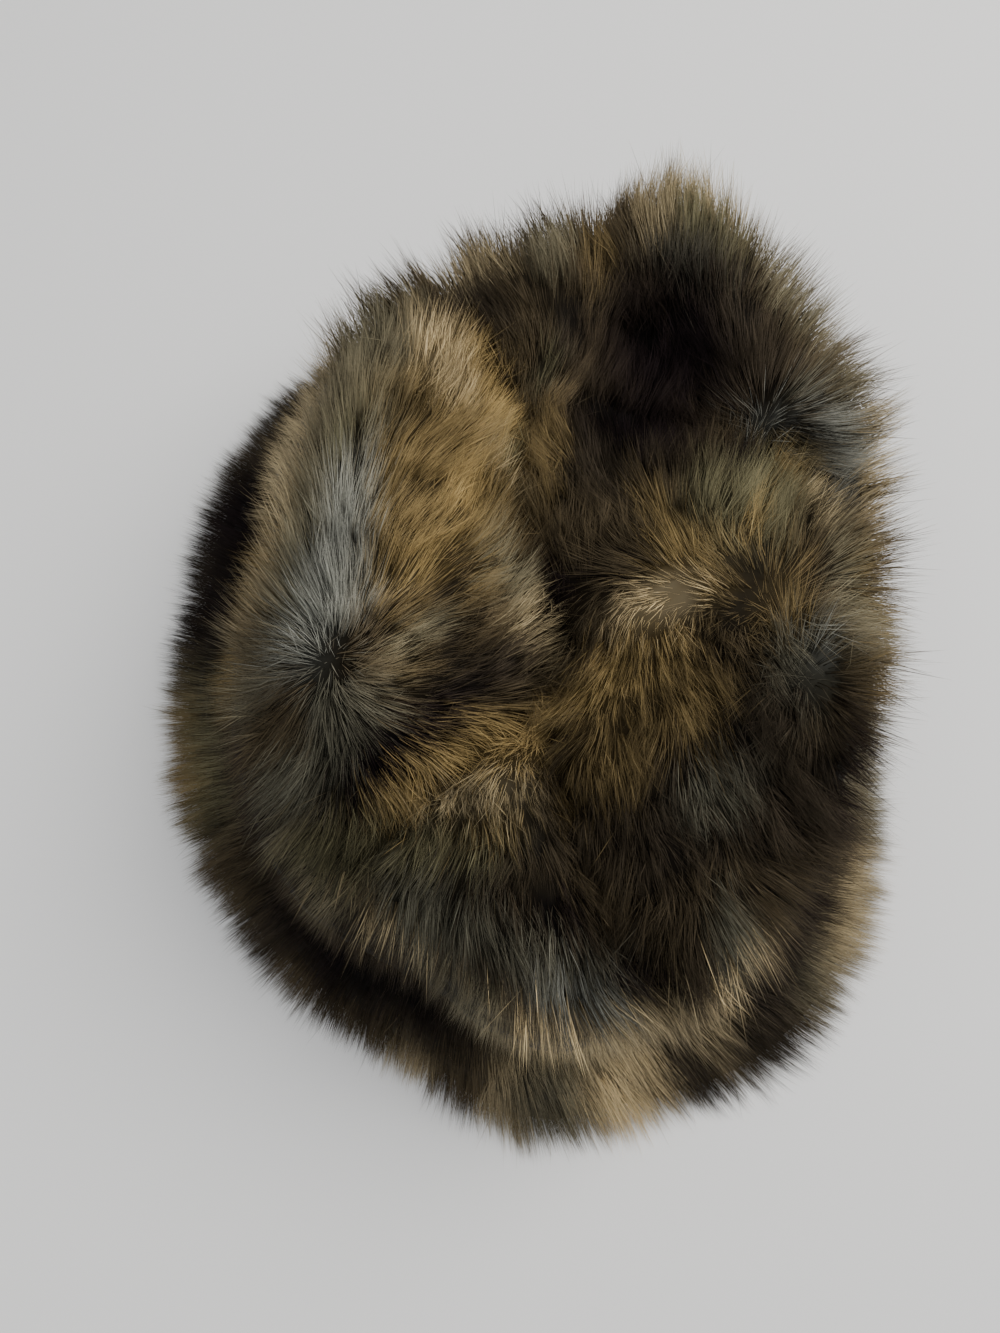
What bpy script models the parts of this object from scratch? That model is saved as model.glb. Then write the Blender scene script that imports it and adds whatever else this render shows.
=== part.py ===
"""Faux-fur bucket hat lying crown up: three sewn panels, each a backing cloth with a deep pile on it.

The hat lies on z = 0 with +Z up. X runs across the head opening and Y along it.
Sizes are in millimetres and become metres where a mesh is made.
"""

from collections import namedtuple

import bpy
import numpy as np

MM = 0.001

# The cloth and its pile
CLOTH = 2.0
PILE = 16.0
CORNER_PILE = 14.0
PILE_GAP = 0.4
SEAM_GAP = 0.2
LOCK_ROOM = 3.0
LOCK_RISE = 6.0
LOCK_LEAN = 2.5
LOCK_WIDTH = 10.0
LOCK_AT_EDGE = 0.15
LOCK_LEAST = 0.6

# How steeply the pile rises for each unit out, at the tip's seam and where the band meets the brim
SEAM_RISE = 1.15
CORNER_RISE = 0.42
TIP_UPRIGHT = 0.8
MOST_SLANT = 0.6

# The hat as it lies
TIP_LEVEL = 97.0
TIP_DROP = 13.0
HEAD_LEVEL = 38.0
HEAD_HALF_X = 82.0
HEAD_HALF_Y = 101.0
HEAD_Y = 2.0
CROWN_X = 8.0
CROWN_Y = 10.0
SIDE_BULGE = 9.0
BRIM_ARCH = 5.0
TIP_LENGTH = 90.0
SIDE_LENGTH = 55.0
BRIM_LENGTH = 60.0

# Vertices round each ring, and rows of faces along each panel
AROUND = 60
TIP_ROWS = 9
SIDE_ROWS = 4
BRIM_ROWS = 4

# Radii at even bearings from +X: the tip's seam about the crown's centre, the hem about the origin
Outline = namedtuple("Outline", "bearing tip_seam hem")
OUTLINE = (
    Outline(0, 85, 114),
    Outline(18, 95, 118),
    Outline(36, 105, 126),
    Outline(54, 120, 137),
    Outline(72, 133, 146),
    Outline(90, 118, 149),
    Outline(108, 107, 148),
    Outline(126, 100, 144),
    Outline(144, 85, 134),
    Outline(162, 77, 121),
    Outline(180, 78, 119),
    Outline(198, 85, 118),
    Outline(216, 90, 118),
    Outline(234, 93, 119),
    Outline(252, 94, 122),
    Outline(270, 107, 138),
    Outline(288, 105, 138),
    Outline(306, 95, 142),
    Outline(324, 88, 134),
    Outline(342, 85, 121),
)

# Rounded humps of the tip: centre, reach along and across, turn from +X in degrees, height
Hump = namedtuple("Hump", "name x y along across turn height")
HUMPS = (
    Hump("left_ridge", -50, 26, 66, 22, 79, 13),
    Hump("lower_left_corner", -53, -72, 24, 17, -35, 9),
    Hump("lower_hump", 12, -96, 30, 15, -12, 9),
    Hump("lower_right_hump", 47, -79, 24, 19, 20, 12),
    Hump("right_hump", 72, -22, 34, 22, 82, 9),
    Hump("upper_right_hump", 79, 73, 26, 20, -52, 9),
    Hump("top_hump", 47, 126, 32, 19, -14, 12),
    Hump("top_left_hump", -16, 110, 27, 16, 12, 9),
    Hump("middle_swell", 38, 2, 36, 24, 40, 6),
)

# Folds of the tip: the line that the fold runs along, its half width and its depth
Fold = namedtuple("Fold", "name line width depth")
FOLDS = (
    Fold("long_fold", ((-23, 112), (-5, 66), (-5, 41), (8, -10)), 10, 12),
    Fold("lower_left_fold", ((8, -10), (-15, -31), (-53, -61)), 10, 9),
    Fold("lower_right_fold", ((5, -27), (8, -49), (24, -82), (46, -106)), 9, 10),
    Fold("right_fold", ((15, 68), (31, 62), (60, 66), (92, 40)), 10, 9),
    Fold("deep_dent", ((38, 92), (52, 76)), 21, 17),
    Fold("top_notch", ((28, 152), (25, 124)), 9, 8),
    Fold("top_left_notch", ((-3, 142), (-1, 120)), 9, 6),
)

# Ripples round the band: how many, how high, and where they start in radians
Ripple = namedtuple("Ripple", "count height start")
RIPPLES = (Ripple(5, 2.5, 0.6), Ripple(9, 1.5, 2.0))

Dye = namedtuple("Dye", "name colour roughness")
BACKING = Dye("backing_cloth", (0.050, 0.036, 0.026), 0.92)
TIP_DYE = Dye("tip_pile", (0.115, 0.078, 0.043), 0.85)
SIDE_DYE = Dye("side_pile", (0.095, 0.070, 0.045), 0.85)
BRIM_DYE = Dye("brim_pile", (0.060, 0.046, 0.034), 0.85)

LOCK_SEED = 7
CREASE_DEGREES = 50.0

Piece = namedtuple("Piece", "name vertices faces dye")


def outline_radius(bearing, column):
    """Radius at a bearing in radians, by a periodic cubic curve through one column of OUTLINE."""
    values = np.array([getattr(row, column) for row in OUTLINE], dtype=float)
    place = np.mod(bearing, 2 * np.pi) / (2 * np.pi) * len(values)
    row = np.floor(place).astype(int)
    part = place - row
    before, here, after, beyond = (values[(row + step) % len(values)] for step in (-1, 0, 1, 2))
    slope = (after - before) / 2
    next_slope = (beyond - here) / 2
    rise = after - here
    bend = 3 * rise - 2 * slope - next_slope
    twist = slope + next_slope - 2 * rise
    return here + part * (slope + part * (bend + part * twist))


def unit(vector):
    """The same directions at length one."""
    return vector / np.linalg.norm(vector, axis=-1, keepdims=True)


def radial(bearing, up=0.0):
    """Unit direction that points out at a bearing and rises by up for each unit out."""
    return unit(np.stack([np.cos(bearing), np.sin(bearing), up + 0 * bearing], axis=-1))


def line_distance(x, y, line):
    """Least distance from each place to a line of straight stretches."""
    nearest = np.full(np.shape(x), np.inf)
    for (ax, ay), (bx, by) in zip(line[:-1], line[1:]):
        run_x, run_y = bx - ax, by - ay
        along = ((x - ax) * run_x + (y - ay) * run_y) / (run_x ** 2 + run_y ** 2)
        along = np.clip(along, 0, 1)
        nearest = np.minimum(nearest, np.hypot(x - ax - along * run_x, y - ay - along * run_y))
    return nearest


def relief(x, y):
    """Height of the humps less the depth of the folds, each a bell curve of the distance from it."""
    height = np.zeros(np.shape(x))
    for hump in HUMPS:
        turn = np.radians(hump.turn)
        along = ((x - hump.x) * np.cos(turn) + (y - hump.y) * np.sin(turn)) / hump.along
        across = ((y - hump.y) * np.cos(turn) - (x - hump.x) * np.sin(turn)) / hump.across
        height += hump.height * np.exp(-along ** 2 - across ** 2)
    for fold in FOLDS:
        height -= fold.depth * np.exp(-(line_distance(x, y, fold.line) / fold.width) ** 2)
    return height


def tip_point(share, bearing):
    """Cloth of the tip: share runs from the crown's centre to the seam along straight spokes."""
    reach = share * outline_radius(bearing, "tip_seam")
    x = CROWN_X + reach * np.cos(bearing)
    y = CROWN_Y + reach * np.sin(bearing)
    z = TIP_LEVEL - TIP_DROP * share ** 3 + relief(x, y)
    return np.stack([x, y, z], axis=-1)


def head_point(bearing):
    """The seam round the head opening, an oval."""
    x = HEAD_HALF_X * np.cos(bearing)
    y = HEAD_Y + HEAD_HALF_Y * np.sin(bearing)
    return np.stack([x, y, HEAD_LEVEL + 0 * bearing], axis=-1)


def side_point(share, bearing):
    """Cloth of the band: a bowed line from the tip's seam to the head opening, with soft ripples."""
    seam = tip_point(1 + 0 * bearing, bearing)
    swell = SIDE_BULGE + sum(row.height * np.cos(row.count * bearing + row.start) for row in RIPPLES)
    bow = swell * np.sin(np.pi * share)
    down = share[..., None]
    return (1 - down) * seam + down * head_point(bearing) + radial(bearing) * bow[..., None]


def brim_point(share, bearing):
    """Cloth of the brim: an arched line from the head opening down to the hem on z = 0."""
    hem_reach = outline_radius(bearing, "hem")
    hem = np.stack([hem_reach * np.cos(bearing), hem_reach * np.sin(bearing), 0 * bearing], axis=-1)
    arch = BRIM_ARCH * np.sin(np.pi * share)
    out = share[..., None]
    return (1 - out) * head_point(bearing) + out * hem + radial(bearing, up=1.0) * arch[..., None]


def grid_normals(points):
    """Outward normals of a grid whose rows run away from the tip and whose columns go round."""
    along = np.gradient(points, axis=0)
    round_about = np.roll(points, -1, axis=1) - np.roll(points, 1, axis=1)
    return unit(np.cross(along, round_about))


def seam_lean(bearing):
    """Shared direction of the pile at the tip's seam."""
    return radial(bearing, up=SEAM_RISE)


def corner_lean(bearing):
    """Shared direction of the pile where the band meets the brim."""
    return radial(bearing, up=CORNER_RISE)


def hem_lean(bearing):
    """Direction of the pile at the hem, flat along the floor."""
    return radial(bearing)


def grid(shares, point):
    """Points of a panel for each share and bearing."""
    bearing = np.arange(AROUND) * 2 * np.pi / AROUND
    share, bearing = np.meshgrid(shares, bearing, indexing="ij")
    return share, bearing, point(share, bearing)


Panel = namedtuple("Panel", "share bearing cloth lean pile")


def tip_panel():
    """The tip's rings, with the pile along the cloth's normal and towards the seam's lean at the rim."""
    rim = 1 - SEAM_GAP / TIP_LENGTH
    shares = rim * np.arange(1, TIP_ROWS + 1) / TIP_ROWS
    share, bearing, cloth = grid(shares, tip_point)
    normal = unit(grid_normals(cloth) + np.array([0, 0, TIP_UPRIGHT]))
    weight = (share / rim)[..., None] ** 5
    lean = unit((1 - weight) * normal + weight * seam_lean(bearing))
    return Panel(share, bearing, cloth, lean, PILE + 0 * share)


def side_panel():
    """The band's rows, with the pile turned from the seam's lean to the corner's."""
    start = SEAM_GAP / SIDE_LENGTH
    share, bearing, cloth = grid(np.linspace(start, 1 - start, SIDE_ROWS + 1), side_point)
    way = ((share - start) / (1 - 2 * start))[..., None]
    top = (1 - way) ** 3
    foot = way ** 3
    lean = unit((1 - top - foot) * grid_normals(cloth) + top * seam_lean(bearing) + foot * corner_lean(bearing))
    return Panel(share, bearing, cloth, lean, PILE + (CORNER_PILE - PILE) * way[..., 0] ** 3)


def brim_panel():
    """The brim's rows, with the pile turned from the corner's lean to the floor's."""
    start = SEAM_GAP / BRIM_LENGTH
    share, bearing, cloth = grid(np.linspace(start, 1, BRIM_ROWS + 1), brim_point)
    way = ((share - start) / (1 - start))[..., None]
    top = (1 - way) ** 3
    foot = way ** 4
    lean = unit((1 - top - foot) * grid_normals(cloth) + top * corner_lean(bearing) + foot * hem_lean(bearing))
    return Panel(share, bearing, cloth, lean, PILE + (CORNER_PILE - PILE) * top[..., 0])


def offset(panel, depth):
    """The cloth moved along the pile's lean until it is depth away from itself."""
    normal = grid_normals(panel.cloth)
    squareness = np.clip(np.sum(panel.lean * normal, axis=-1), MOST_SLANT, 1.0)
    return panel.cloth + panel.lean * (depth / squareness)[..., None]


def grid_faces(rows, start):
    """Two triangles for each cell of a grid whose vertices begin at start, wound to face out."""
    row, column = np.meshgrid(np.arange(rows), np.arange(AROUND), indexing="ij")
    here = start + row * AROUND + column
    beside = start + row * AROUND + (column + 1) % AROUND
    below = here + AROUND
    below_beside = beside + AROUND
    first = np.stack([here, below, below_beside], axis=-1)
    second = np.stack([here, below_beside, beside], axis=-1)
    return np.concatenate([first.reshape(-1, 3), second.reshape(-1, 3)])


def lock_faces(rows, start, apex_start):
    """Four triangles for each cell of a grid, up to the tip of the lock that stands on it."""
    row, column = np.meshgrid(np.arange(rows), np.arange(AROUND), indexing="ij")
    here = start + row * AROUND + column
    beside = start + row * AROUND + (column + 1) % AROUND
    corners = (here, here + AROUND, beside + AROUND, beside)
    apex = apex_start + row * AROUND + column
    sides = [np.stack([corners[k], corners[(k + 1) % 4], apex], axis=-1).reshape(-1, 3) for k in range(4)]
    return np.concatenate(sides)


def strip_faces(first_ring, second_ring):
    """Two triangles for each cell between two rings, given by their first vertices."""
    column = np.arange(AROUND)
    beside = (column + 1) % AROUND
    one = np.stack([first_ring + column, first_ring + beside, second_ring + beside], axis=-1)
    two = np.stack([first_ring + column, second_ring + beside, second_ring + column], axis=-1)
    return np.concatenate([one, two])


def fan_faces(pole, ring):
    """Triangles from a pole to the ring round it."""
    column = np.arange(AROUND)
    return np.stack([pole + 0 * column, ring + column, ring + (column + 1) % AROUND], axis=-1)


def lock_tips(outer, lean, rng):
    """Tips of the locks: the middle of each cell raised along the pile and pushed a little aside."""
    beside = np.roll(outer, -1, axis=1)
    middle = (outer[:-1] + outer[1:] + beside[:-1] + beside[1:]) / 4
    away = unit(lean[:-1] + lean[1:])
    rows = len(middle)
    from_edge = np.sin(np.pi * (np.arange(rows) + 0.5) / rows)[:, None]
    width = np.linalg.norm(beside[1:] - outer[1:], axis=-1)
    size = np.clip(width / LOCK_WIDTH, 0.0, 1.0) * (LOCK_AT_EDGE + (1 - LOCK_AT_EDGE) * from_edge)
    rise = LOCK_RISE * size * rng.uniform(LOCK_LEAST, 1.0, size.shape)
    push = rng.uniform(-1, 1, middle.shape) * LOCK_LEAN
    push -= away * np.sum(push * away, axis=-1, keepdims=True)
    return middle + away * rise[..., None] + push * size[..., None]


def shell(outer, inner, pole, tips=None):
    """Vertices and faces of a closed shell between two grids, with locks where tips are given."""
    rows = len(outer) - 1
    inner_start = outer.shape[0] * AROUND
    vertices = [outer.reshape(-1, 3), inner.reshape(-1, 3)]
    count = 2 * inner_start
    faces = [grid_faces(rows, inner_start)[:, ::-1]]
    if tips is None:
        faces.append(grid_faces(rows, 0))
    else:
        faces.append(lock_faces(rows, 0, count))
        vertices.append(tips.reshape(-1, 3))
        count += len(vertices[-1])
    if pole:
        vertices.append(np.array([outer[0].mean(axis=0), inner[0].mean(axis=0)]))
        faces.append(fan_faces(count, 0))
        faces.append(fan_faces(count + 1, inner_start)[:, ::-1])
    else:
        faces.append(strip_faces(0, inner_start))
    faces.append(strip_faces(inner_start + rows * AROUND, rows * AROUND))
    return np.concatenate(vertices), np.concatenate(faces)


def dyed(dye):
    """A plain material for one piece."""
    material = bpy.data.materials.new(dye.name)
    material.use_nodes = True
    shader = material.node_tree.nodes["Principled BSDF"]
    shader.inputs["Base Color"].default_value = (*dye.colour, 1.0)
    shader.inputs["Roughness"].default_value = dye.roughness
    shader.inputs["Metallic"].default_value = 0.0
    return material


def wall(name, panel, pole=False):
    """Backing cloth of a panel, its thickness laid inwards from the panel's surface."""
    return Piece(name, *shell(panel.cloth, offset(panel, -CLOTH), pole), BACKING)


def fur(name, panel, dye, rng, pole=False):
    """Pile of a panel: a hollow skin just clear of the cloth, with a lock on each cell of its face."""
    outer = panel.cloth + panel.lean * (panel.pile - LOCK_ROOM)[..., None]
    tips = lock_tips(outer, panel.lean, rng)
    return Piece(name, *shell(outer, offset(panel, PILE_GAP), pole, tips), dye)


def add_piece(piece, shift):
    """One named object at the origin, with its place in its mesh, in metres."""
    mesh = bpy.data.meshes.new(piece.name)
    mesh.from_pydata(((piece.vertices + shift) * MM).tolist(), [], piece.faces.tolist())
    mesh.validate()
    mesh.shade_smooth()
    mesh.set_sharp_from_angle(angle=np.radians(CREASE_DEGREES))
    mesh.materials.append(dyed(piece.dye))
    bpy.context.scene.collection.objects.link(bpy.data.objects.new(piece.name, mesh))


def centring_shift(pieces):
    """The move along X and Y that puts the middle of the hat's box over the origin."""
    points = np.concatenate([piece.vertices for piece in pieces])
    middle = (points.min(axis=0) + points.max(axis=0)) / 2
    return np.array([-middle[0], -middle[1], 0.0])


def main():
    for old in list(bpy.data.objects):
        bpy.data.objects.remove(old, do_unlink=True)
    rng = np.random.default_rng(LOCK_SEED)
    tip = tip_panel()
    side = side_panel()
    brim = brim_panel()
    pieces = (
        wall("crown_tip", tip, pole=True),
        wall("crown_side", side),
        wall("brim", brim),
        fur("crown_tip_fur", tip, TIP_DYE, rng, pole=True),
        fur("crown_side_fur", side, SIDE_DYE, rng),
        fur("brim_fur", brim, BRIM_DYE, rng),
    )
    shift = centring_shift(pieces)
    for piece in pieces:
        add_piece(piece, shift)


if __name__ == "__main__":
    main()
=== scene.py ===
"""Looks of a faux-fur bucket hat: backing cloth, under-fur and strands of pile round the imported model.

Shapes are worked out in millimetres on the hat's own panels and become metres where a mesh is made.
"""

import math
from collections import namedtuple

import bpy
import numpy as np
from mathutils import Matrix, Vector


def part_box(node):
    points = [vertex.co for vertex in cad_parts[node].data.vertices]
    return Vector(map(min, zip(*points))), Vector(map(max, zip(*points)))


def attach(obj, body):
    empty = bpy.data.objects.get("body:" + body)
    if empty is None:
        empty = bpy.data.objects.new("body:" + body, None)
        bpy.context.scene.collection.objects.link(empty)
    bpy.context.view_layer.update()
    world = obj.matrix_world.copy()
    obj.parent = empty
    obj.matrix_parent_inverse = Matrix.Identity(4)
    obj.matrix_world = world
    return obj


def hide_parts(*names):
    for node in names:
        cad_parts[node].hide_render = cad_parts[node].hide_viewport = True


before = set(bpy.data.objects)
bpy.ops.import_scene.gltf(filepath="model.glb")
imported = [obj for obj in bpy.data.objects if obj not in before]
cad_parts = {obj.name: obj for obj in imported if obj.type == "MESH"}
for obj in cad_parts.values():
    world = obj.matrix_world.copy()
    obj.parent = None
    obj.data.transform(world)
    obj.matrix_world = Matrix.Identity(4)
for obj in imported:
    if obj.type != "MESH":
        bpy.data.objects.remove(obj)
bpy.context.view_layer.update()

bl_info = {
    "name": "Fur Bucket Hat",
    "version": (1, 0, 0),
    "blender": (4, 5, 0),
    "location": "View3D > Sidebar > Fur Hat",
    "description": "Dresses a faux-fur bucket hat in backing cloth, under-fur and dyed strands",
    "category": "Object",
}

MM = 0.001
BODY = "root"


def table(kind, rows):
    """Rows of a table with named columns."""
    return tuple(kind(*row) for row in rows)


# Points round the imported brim's hem
HEM_POINTS = 60

# The hat's panels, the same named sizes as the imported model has
CLOTH = 2.0
TIP_LEVEL = 97.0
TIP_DROP = 13.0
HEAD_LEVEL = 38.0
HEAD_HALF_X = 82.0
HEAD_HALF_Y = 101.0
HEAD_Y = 2.0
CROWN_X = 8.0
CROWN_Y = 10.0
SIDE_BULGE = 9.0
SIDE_RIPPLE = 2.5
BRIM_ARCH = 5.0

# Rise for each unit out of the pile at the tip's seam and where the band meets the brim, and what is
# added to the tip's normal
SEAM_RISE = 1.15
CORNER_RISE = 0.42
TIP_RISE = 0.8

# Step along a panel, as a share of it or in radians, from which its directions are worked out
STEP = 1e-3

Outline = namedtuple("Outline", "bearing tip_seam hem")
OUTLINE = table(Outline, (
    (0, 85, 114),
    (18, 95, 118),
    (36, 105, 126),
    (54, 120, 137),
    (72, 133, 146),
    (90, 118, 149),
    (108, 107, 148),
    (126, 100, 144),
    (144, 85, 134),
    (162, 77, 121),
    (180, 78, 119),
    (198, 85, 118),
    (216, 90, 118),
    (234, 93, 119),
    (252, 94, 122),
    (270, 107, 138),
    (288, 105, 138),
    (306, 95, 142),
    (324, 88, 134),
    (342, 85, 121),
))

Hump = namedtuple("Hump", "name x y along across turn height")
HUMPS = table(Hump, (
    ("left_ridge", -50, 26, 66, 22, 79, 13),
    ("lower_left_corner", -53, -72, 24, 17, -35, 9),
    ("lower_hump", 12, -96, 30, 15, -12, 9),
    ("lower_right_hump", 47, -79, 24, 19, 20, 12),
    ("right_hump", 72, -22, 34, 22, 82, 9),
    ("upper_right_hump", 79, 73, 26, 20, -52, 9),
    ("top_hump", 47, 126, 32, 19, -14, 12),
    ("top_left_hump", -16, 110, 27, 16, 12, 9),
    ("middle_swell", 38, 2, 36, 24, 40, 6),
))

Fold = namedtuple("Fold", "name line width depth")
FOLDS = table(Fold, (
    ("long_fold", ((-23, 112), (-5, 66), (-5, 41), (8, -10)), 10, 12),
    ("lower_left_fold", ((8, -10), (-15, -31), (-53, -61)), 10, 9),
    ("lower_right_fold", ((5, -27), (8, -49), (24, -82), (46, -106)), 9, 10),
    ("right_fold", ((15, 68), (31, 62), (60, 66), (92, 40)), 10, 9),
    ("deep_dent", ((38, 92), (52, 76)), 21, 17),
    ("top_notch", ((28, 152), (25, 124)), 9, 8),
    ("top_left_notch", ((-3, 142), (-1, 120)), 9, 6),
))

# Dyed patches of the tip, each painted over those before it: an ellipse turned in degrees from +X.
# The near-black patches of the deep dent, the long fold, the cleft and the hole, and those named shade, are
# partly painted shade of these hollows; the pale rims are partly painted highlight of the crown's lit edges
Patch = namedtuple("Patch", "name x y along across turn dye")
TIP_PATCHES = table(Patch, (
    ("left_body", -36, 34, 62, 36, 80, "tan"),
    ("left_low_body", -62, -28, 32, 24, 60, "slate"),
    ("low_body", -5, -84, 66, 26, -8, "bark"),
    ("right_low_body", 50, -45, 50, 34, 10, "bark"),
    ("top_body", 30, 112, 64, 28, -5, "umber"),
    ("right_body", 78, 10, 46, 24, 90, "umber"),
    ("left_side", -60, 40, 52, 16, 78, "taupe"),
    # Pale rim: partly painted highlight of the crown's lit edge
    ("left_rim", -77, 44, 54, 7, 76, "beige"),
    ("left_rim_low", -87, -18, 24, 6, 95, "taupe"),
    ("left_dark_side", -67, 10, 26, 6, 80, "slate"),
    ("left_dark_high", -54, 56, 12, 4, 70, "olive"),
    ("left_blue", -54, 22, 32, 9, 82, "ash"),
    ("left_blue_foot", -56, 0, 12, 12, 82, "ash"),
    ("whorl_grey", -64, -12, 12, 10, 90, "ash"),
    ("whorl_low", -71, -26, 16, 9, 60, "umber"),
    ("whorl_frost", -66, -34, 7, 3, 30, "umber"),
    ("whorl_spot", -57, -19, 7, 6, 90, "slate"),
    ("low_left_grey", -60, -40, 14, 8, 40, "slate"),
    ("low_left_edge", -82, -44, 16, 6, 80, "umber"),
    ("left_top", -50, 88, 16, 10, 60, "taupe"),
    ("left_top_olive", -38, 88, 12, 4, 75, "taupe"),
    ("crest", -27, 84, 20, 6, 110, "cream"),
    ("crest_low", -26, 54, 20, 8, 80, "tan"),
    ("tan_upper", -38, 52, 14, 6, 60, "tan"),
    ("tan_bright", -36, 32, 15, 6, 60, "tan"),
    ("tan_low", -33, 15, 13, 6, 40, "honey"),
    ("tan_dim", -46, -6, 12, 8, 60, "umber"),
    ("orange_band", -11, 74, 22, 7, 112, "honey"),
    ("orange_low", -12, 48, 16, 5, 100, "tan"),
    ("band_lower", -18, 34, 16, 6, 100, "honey"),
    ("curl", -6, 49, 11, 2.2, 120, "beige"),
    ("curl_shade", -5, 58, 7, 2.4, 95, "olive"),
    ("band_foot", -6, 16, 14, 7, 105, "taupe"),
    ("band_end", 1, 1, 11, 5, 124, "beige"),
    ("slope_brown", -26, 8, 12, 4, 65, "umber"),
    ("slope_low", -20, -2, 16, 7, 45, "umber"),
    ("slope_flecks", -32, -3, 10, 4, 45, "taupe"),
    ("slope_dark", -16, -14, 22, 8, 35, "bark"),
    ("above_fold", -32, -30, 26, 7, 36, "black"),
    ("above_fold_end", -46, -42, 13, 5, 45, "black"),
    ("top_left_rim", -42, 103, 22, 5, 25, "taupe"),
    ("top_left_brown", -18, 106, 20, 8, -35, "bark"),
    ("top_left_shade", -22, 104, 12, 4, -40, "bark"),
    ("top_left_tips", -18, 120, 14, 6, 20, "beige"),
    ("fold_gold", 6, 56, 20, 5, 92, "tan"),
    ("fold_brown", 2, 76, 8, 5, 60, "umber"),
    ("fold_olive", 8, 86, 10, 4, 60, "olive"),
    # fold_shade, fold_dark and fold_black: partly painted shade along the long fold
    ("fold_shade", 12, 96, 16, 6, 80, "bark"),
    ("fold_dark", 20, 56, 22, 9, 92, "bark"),
    ("fold_low", 14, 30, 18, 7, 105, "umber"),
    ("fold_black", 5, 14, 13, 4.5, 105, "black"),
    ("top_middle", 6, 126, 14, 8, 80, "taupe"),
    ("top_gold", 20, 124, 9, 5, 85, "tan"),
    ("top_notch", 30, 112, 12, 4, 75, "bark"),
    ("top_hump_left", 38, 134, 14, 6, 75, "beige"),
    ("top_hump", 56, 130, 16, 10, -25, "olive"),
    ("top_hump_low", 50, 118, 18, 6, -10, "slate"),
    ("top_hump_tips", 52, 145, 26, 6, -15, "beige"),
    ("top_right_edge", 84, 112, 26, 7, -62, "taupe"),
    # The dent's patches: its near-black dye, partly painted shade of its deep hollow
    ("dent_wide", 46, 92, 34, 29, 50, "black"),
    ("dent_low", 32, 64, 22, 10, 0, "black"),
    ("dent_right", 66, 102, 18, 9, -50, "bark"),
    ("dent_streak", 65, 94, 8, 2, 50, "bark"),
    ("right_frost", 76, 80, 14, 8, -20, "bark"),
    ("right_frost_high", 84, 74, 11, 5, -20, "slate"),
    ("right_frost_low", 92, 58, 16, 7, -75, "ash"),
    ("right_moss", 72, 66, 10, 5, -20, "ash"),
    # Painted shade in a hole of the pile
    ("right_hole", 80, 61, 6, 3, -20, "black"),
    ("right_edge_high", 100, 78, 12, 4, -60, "taupe"),
    ("right_rim_high", 105, 52, 22, 5, -90, "beige"),
    ("upper_gold", 62, 36, 26, 16, 40, "olive"),
    ("upper_gold_left", 38, 28, 18, 6, 110, "tan"),
    ("upper_olive", 49, 38, 16, 6, 80, "olive"),
    ("upper_shade", 36, 52, 12, 5, 10, "bark"),
    ("upper_brown", 62, 54, 9, 4, 0, "black"),
    ("seam_gold", 77, 50, 10, 2.4, -46, "tan"),
    ("seam_gold_low", 86, 40, 10, 3, -70, "beige"),
    ("upper_streak", 62, 28, 12, 4, 60, "honey"),
    ("right_brown", 70, 10, 16, 8, 60, "tan"),
    ("right_taupe", 93, 14, 22, 8, 95, "taupe"),
    ("right_rim", 102, 0, 30, 4, 92, "tan"),
    ("middle_gold", 42, 18, 16, 10, 60, "honey"),
    ("bright_middle", 36, 5, 16, 8, 15, "cream"),
    ("bright_right", 53, 8, 8, 5, 60, "tan"),
    ("gold_middle", 24, -16, 25, 10, 36, "honey"),
    ("gold_band", -8, -32, 30, 9, 31, "honey"),
    ("gold_band_left", -33, -47, 22, 6, 28, "honey"),
    ("gold_fringe", -16, -48, 17, 6, 18, "beige"),
    ("gold_end", -50, -58, 14, 6, 20, "olive"),
    ("fringe_low", -26, -61, 26, 7, 8, "olive"),
    ("fringe_tips", -14, -56, 12, 3, 10, "tan"),
    ("fringe_dark", 6, -62, 16, 6, 5, "bark"),
    ("seam_dark", 7, -30, 8, 2.5, 95, "umber"),
    ("seam_low", 10, -46, 9, 3, 95, "tan"),
    ("brown_low", 22, -38, 14, 9, 60, "tan"),
    ("brown_middle", 42, -24, 16, 9, 40, "tan"),
    ("low_black", 12, -74, 22, 9, -10, "umber"),
    ("low_black_spot", 4, -78, 9, 4, 0, "black"),
    ("low_grey", -26, -78, 24, 7, -22, "slate"),
    ("low_frost", -30, -84, 14, 3.5, -30, "slate"),
    ("low_middle", 8, -93, 22, 6, -8, "slate"),
    ("low_frost_right", 12, -101, 14, 5, -8, "ash"),
    ("corner", -60, -66, 16, 7, -25, "olive"),
    ("corner_edge", -60, -77, 14, 4, -25, "cream"),
    # Pale rims: partly painted highlight of the crown's lit edge
    ("rim_left", -34, -92, 24, 3.0, -32, "beige"),
    ("rim_low", 2, -111, 20, 4, -20, "cream"),
    ("bottom_rim", 14, -118, 16, 5, 0, "cream"),
    ("pale_rim", 34, -109, 18, 5, 16, "beige"),
    ("pale_rim_right", 56, -97, 12, 4, 40, "cream"),
    # Painted shade in the cleft
    ("cleft", 28, -97, 14, 3.5, -5, "black"),
    ("right_slate", 74, -12, 16, 11, 60, "slate"),
    ("right_slate_frost", 80, -6, 8, 3, 60, "ash"),
    ("right_bark", 62, -28, 14, 8, 30, "bark"),
    ("right_dark_rim", 90, -40, 20, 8, 80, "black"),
    ("right_black", 76, -46, 16, 8, 60, "bark"),
    ("low_right_grey", 50, -46, 15, 8, 30, "slate"),
    ("hump_shade", 38, -60, 14, 8, 20, "bark"),
    ("hump_grey", 48, -74, 12, 9, 20, "umber"),
    ("hump_frost", 52, -86, 12, 7, -70, "slate"),
    ("hump_left", 34, -86, 9, 6, -70, "umber"),
    ("hump_right", 70, -72, 14, 7, 50, "umber"),
    ("hump_right_tips", 64, -82, 10, 4, 50, "umber"),
))
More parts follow.
